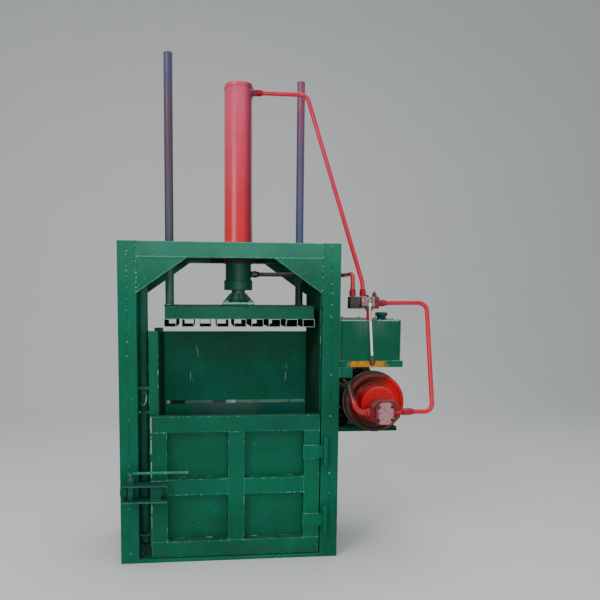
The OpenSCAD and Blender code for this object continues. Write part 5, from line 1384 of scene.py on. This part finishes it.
# --- lever knob: moulded ring grooves
g = Geo()
ang = math.radians(13)
dirv = Vector((0, -math.sin(ang), -math.cos(ang)))
root = Vector((0.637, -0.243, 1.283))
for t, r in ((0.2730, 0.0139), (0.2780, 0.0145), (0.2830, 0.0149)):
    p = root + dirv * t
    ring = []
    mtx = frame_at(p, dirv, (1, 0, 0))
    for i in range(29):
        a = 2 * math.pi * i / 28
        ring.append(mtx @ Vector((r * math.cos(a), r * math.sin(a), 0)))
    g.tube(ring, 0.0011, 6, cap=False)
g.make("knob_rings", "lever", M["knob"])
g = Geo()
g.revolve([(0.0055, 0), (0.0070, 0.001), (0.0072, 0.006), (0.0055, 0.008)], frame_at(root + dirv * 0.2552, dirv, (1, 0, 0)), 18)
g.make("knob_nut", "lever", M["knob"])

# ------------------------------------------------------------------ floor, light, camera
def studio_mat(name, col, rough):
    m = Mat(name)
    n = m.noise(1.4, 4, 0.6)
    f = m.noise(60, 3, 0.6)
    a = m.mix(m.mr(n, 0.3, 0.7), mul(col, 0.985), mul(col, 1.01))
    return m.finish(a, rough, m.bump(f, 0.05, 0.0005))


fl = Geo()
prof = [(-7.0, 0.0), (3.2, 0.0)]
for i in range(1, 15):
    t = math.pi / 2 * i / 14
    prof.append((3.2 + 2.6 * math.sin(t), 2.6 - 2.6 * math.cos(t)))
prof.append((5.8, 7.5))
verts = [(x, y, z - 0.0005) for x in (-9.0, 9.0) for y, z in prof]
n = len(prof)
fl.add(verts, [(i, i + n, i + n + 1, i + 1) for i in range(n - 1)], True)
me = bpy.data.meshes.new("studio_floor")
me.from_pydata(fl.v, [], fl.f)
me.polygons.foreach_set("use_smooth", [True] * len(fl.f))
me.materials.append(studio_mat("studio_pale", S(226, 226, 222), 0.75))
floor = bpy.data.objects.new("studio_floor", me)
bpy.context.scene.collection.objects.link(floor)


def area(name, loc, at, size, power, col=(1, 1, 1)):
    L = bpy.data.lights.new(name, "AREA")
    L.shape = "RECTANGLE"
    L.size, L.size_y = size
    L.energy = power
    L.color = col
    o = bpy.data.objects.new(name, L)
    o.location = loc
    o.rotation_euler = (Vector(at) - Vector(loc)).to_track_quat("-Z", "Y").to_euler()
    bpy.context.scene.collection.objects.link(o)
    return o


area("key", (-3.4, -3.8, 4.3), (0.0, 0.0, 0.9), (2.4, 2.2), 145, (1.0, 0.99, 0.97))
area("top", (0.2, -0.2, 5.4), (0.0, 0.0, 0.6), (3.6, 3.2), 100, (0.94, 0.98, 1.0))
area("fill", (3.8, -3.4, 2.0), (0.1, 0.0, 1.0), (2.4, 2.4), 34, (0.94, 0.98, 1.0))
area("rim", (2.4, 3.4, 3.6), (0.1, 0.0, 1.2), (2.0, 2.0), 18, (1.0, 1.0, 1.0))
area("front", (0.10, -4.4, 1.45), (0.0, 0.2, 0.95), (1.3, 0.9), 50, (0.97, 1.0, 1.0))

world = bpy.data.worlds.new("studio")
world.use_nodes = True
wt = world.node_tree
bg = wt.nodes.get("Background")
bg.inputs[0].default_value = (0.80, 0.88, 0.95, 1)
bg.inputs[1].default_value = 0.40
bpy.context.scene.world = world

yaw, pitch, roll = math.radians(5.592), math.radians(4.735), math.radians(0.3203)
fwd = Vector((math.sin(yaw), math.cos(yaw), 0))
right = Vector((math.cos(yaw), -math.sin(yaw), 0))
up = Vector((0, 0, 1))
F = fwd * math.cos(pitch) - up * math.sin(pitch)
U = up * math.cos(pitch) + fwd * math.sin(pitch)
R = right * math.cos(roll) + U * math.sin(roll)
U3 = U * math.cos(roll) - right * math.sin(roll)
cam = bpy.data.cameras.new("camera")
cam.sensor_width = 36.0
cam.lens = 34.27
cam.shift_x = 0.0657
cam.shift_y = 0.0770
co = bpy.data.objects.new("camera", cam)
co.matrix_world = Matrix(((R[0], U3[0], -F[0], -0.175), (R[1], U3[1], -F[1], -3.008), (R[2], U3[2], -F[2], 1.308), (0, 0, 0, 1)))
bpy.context.scene.collection.objects.link(co)
bpy.context.scene.camera = co
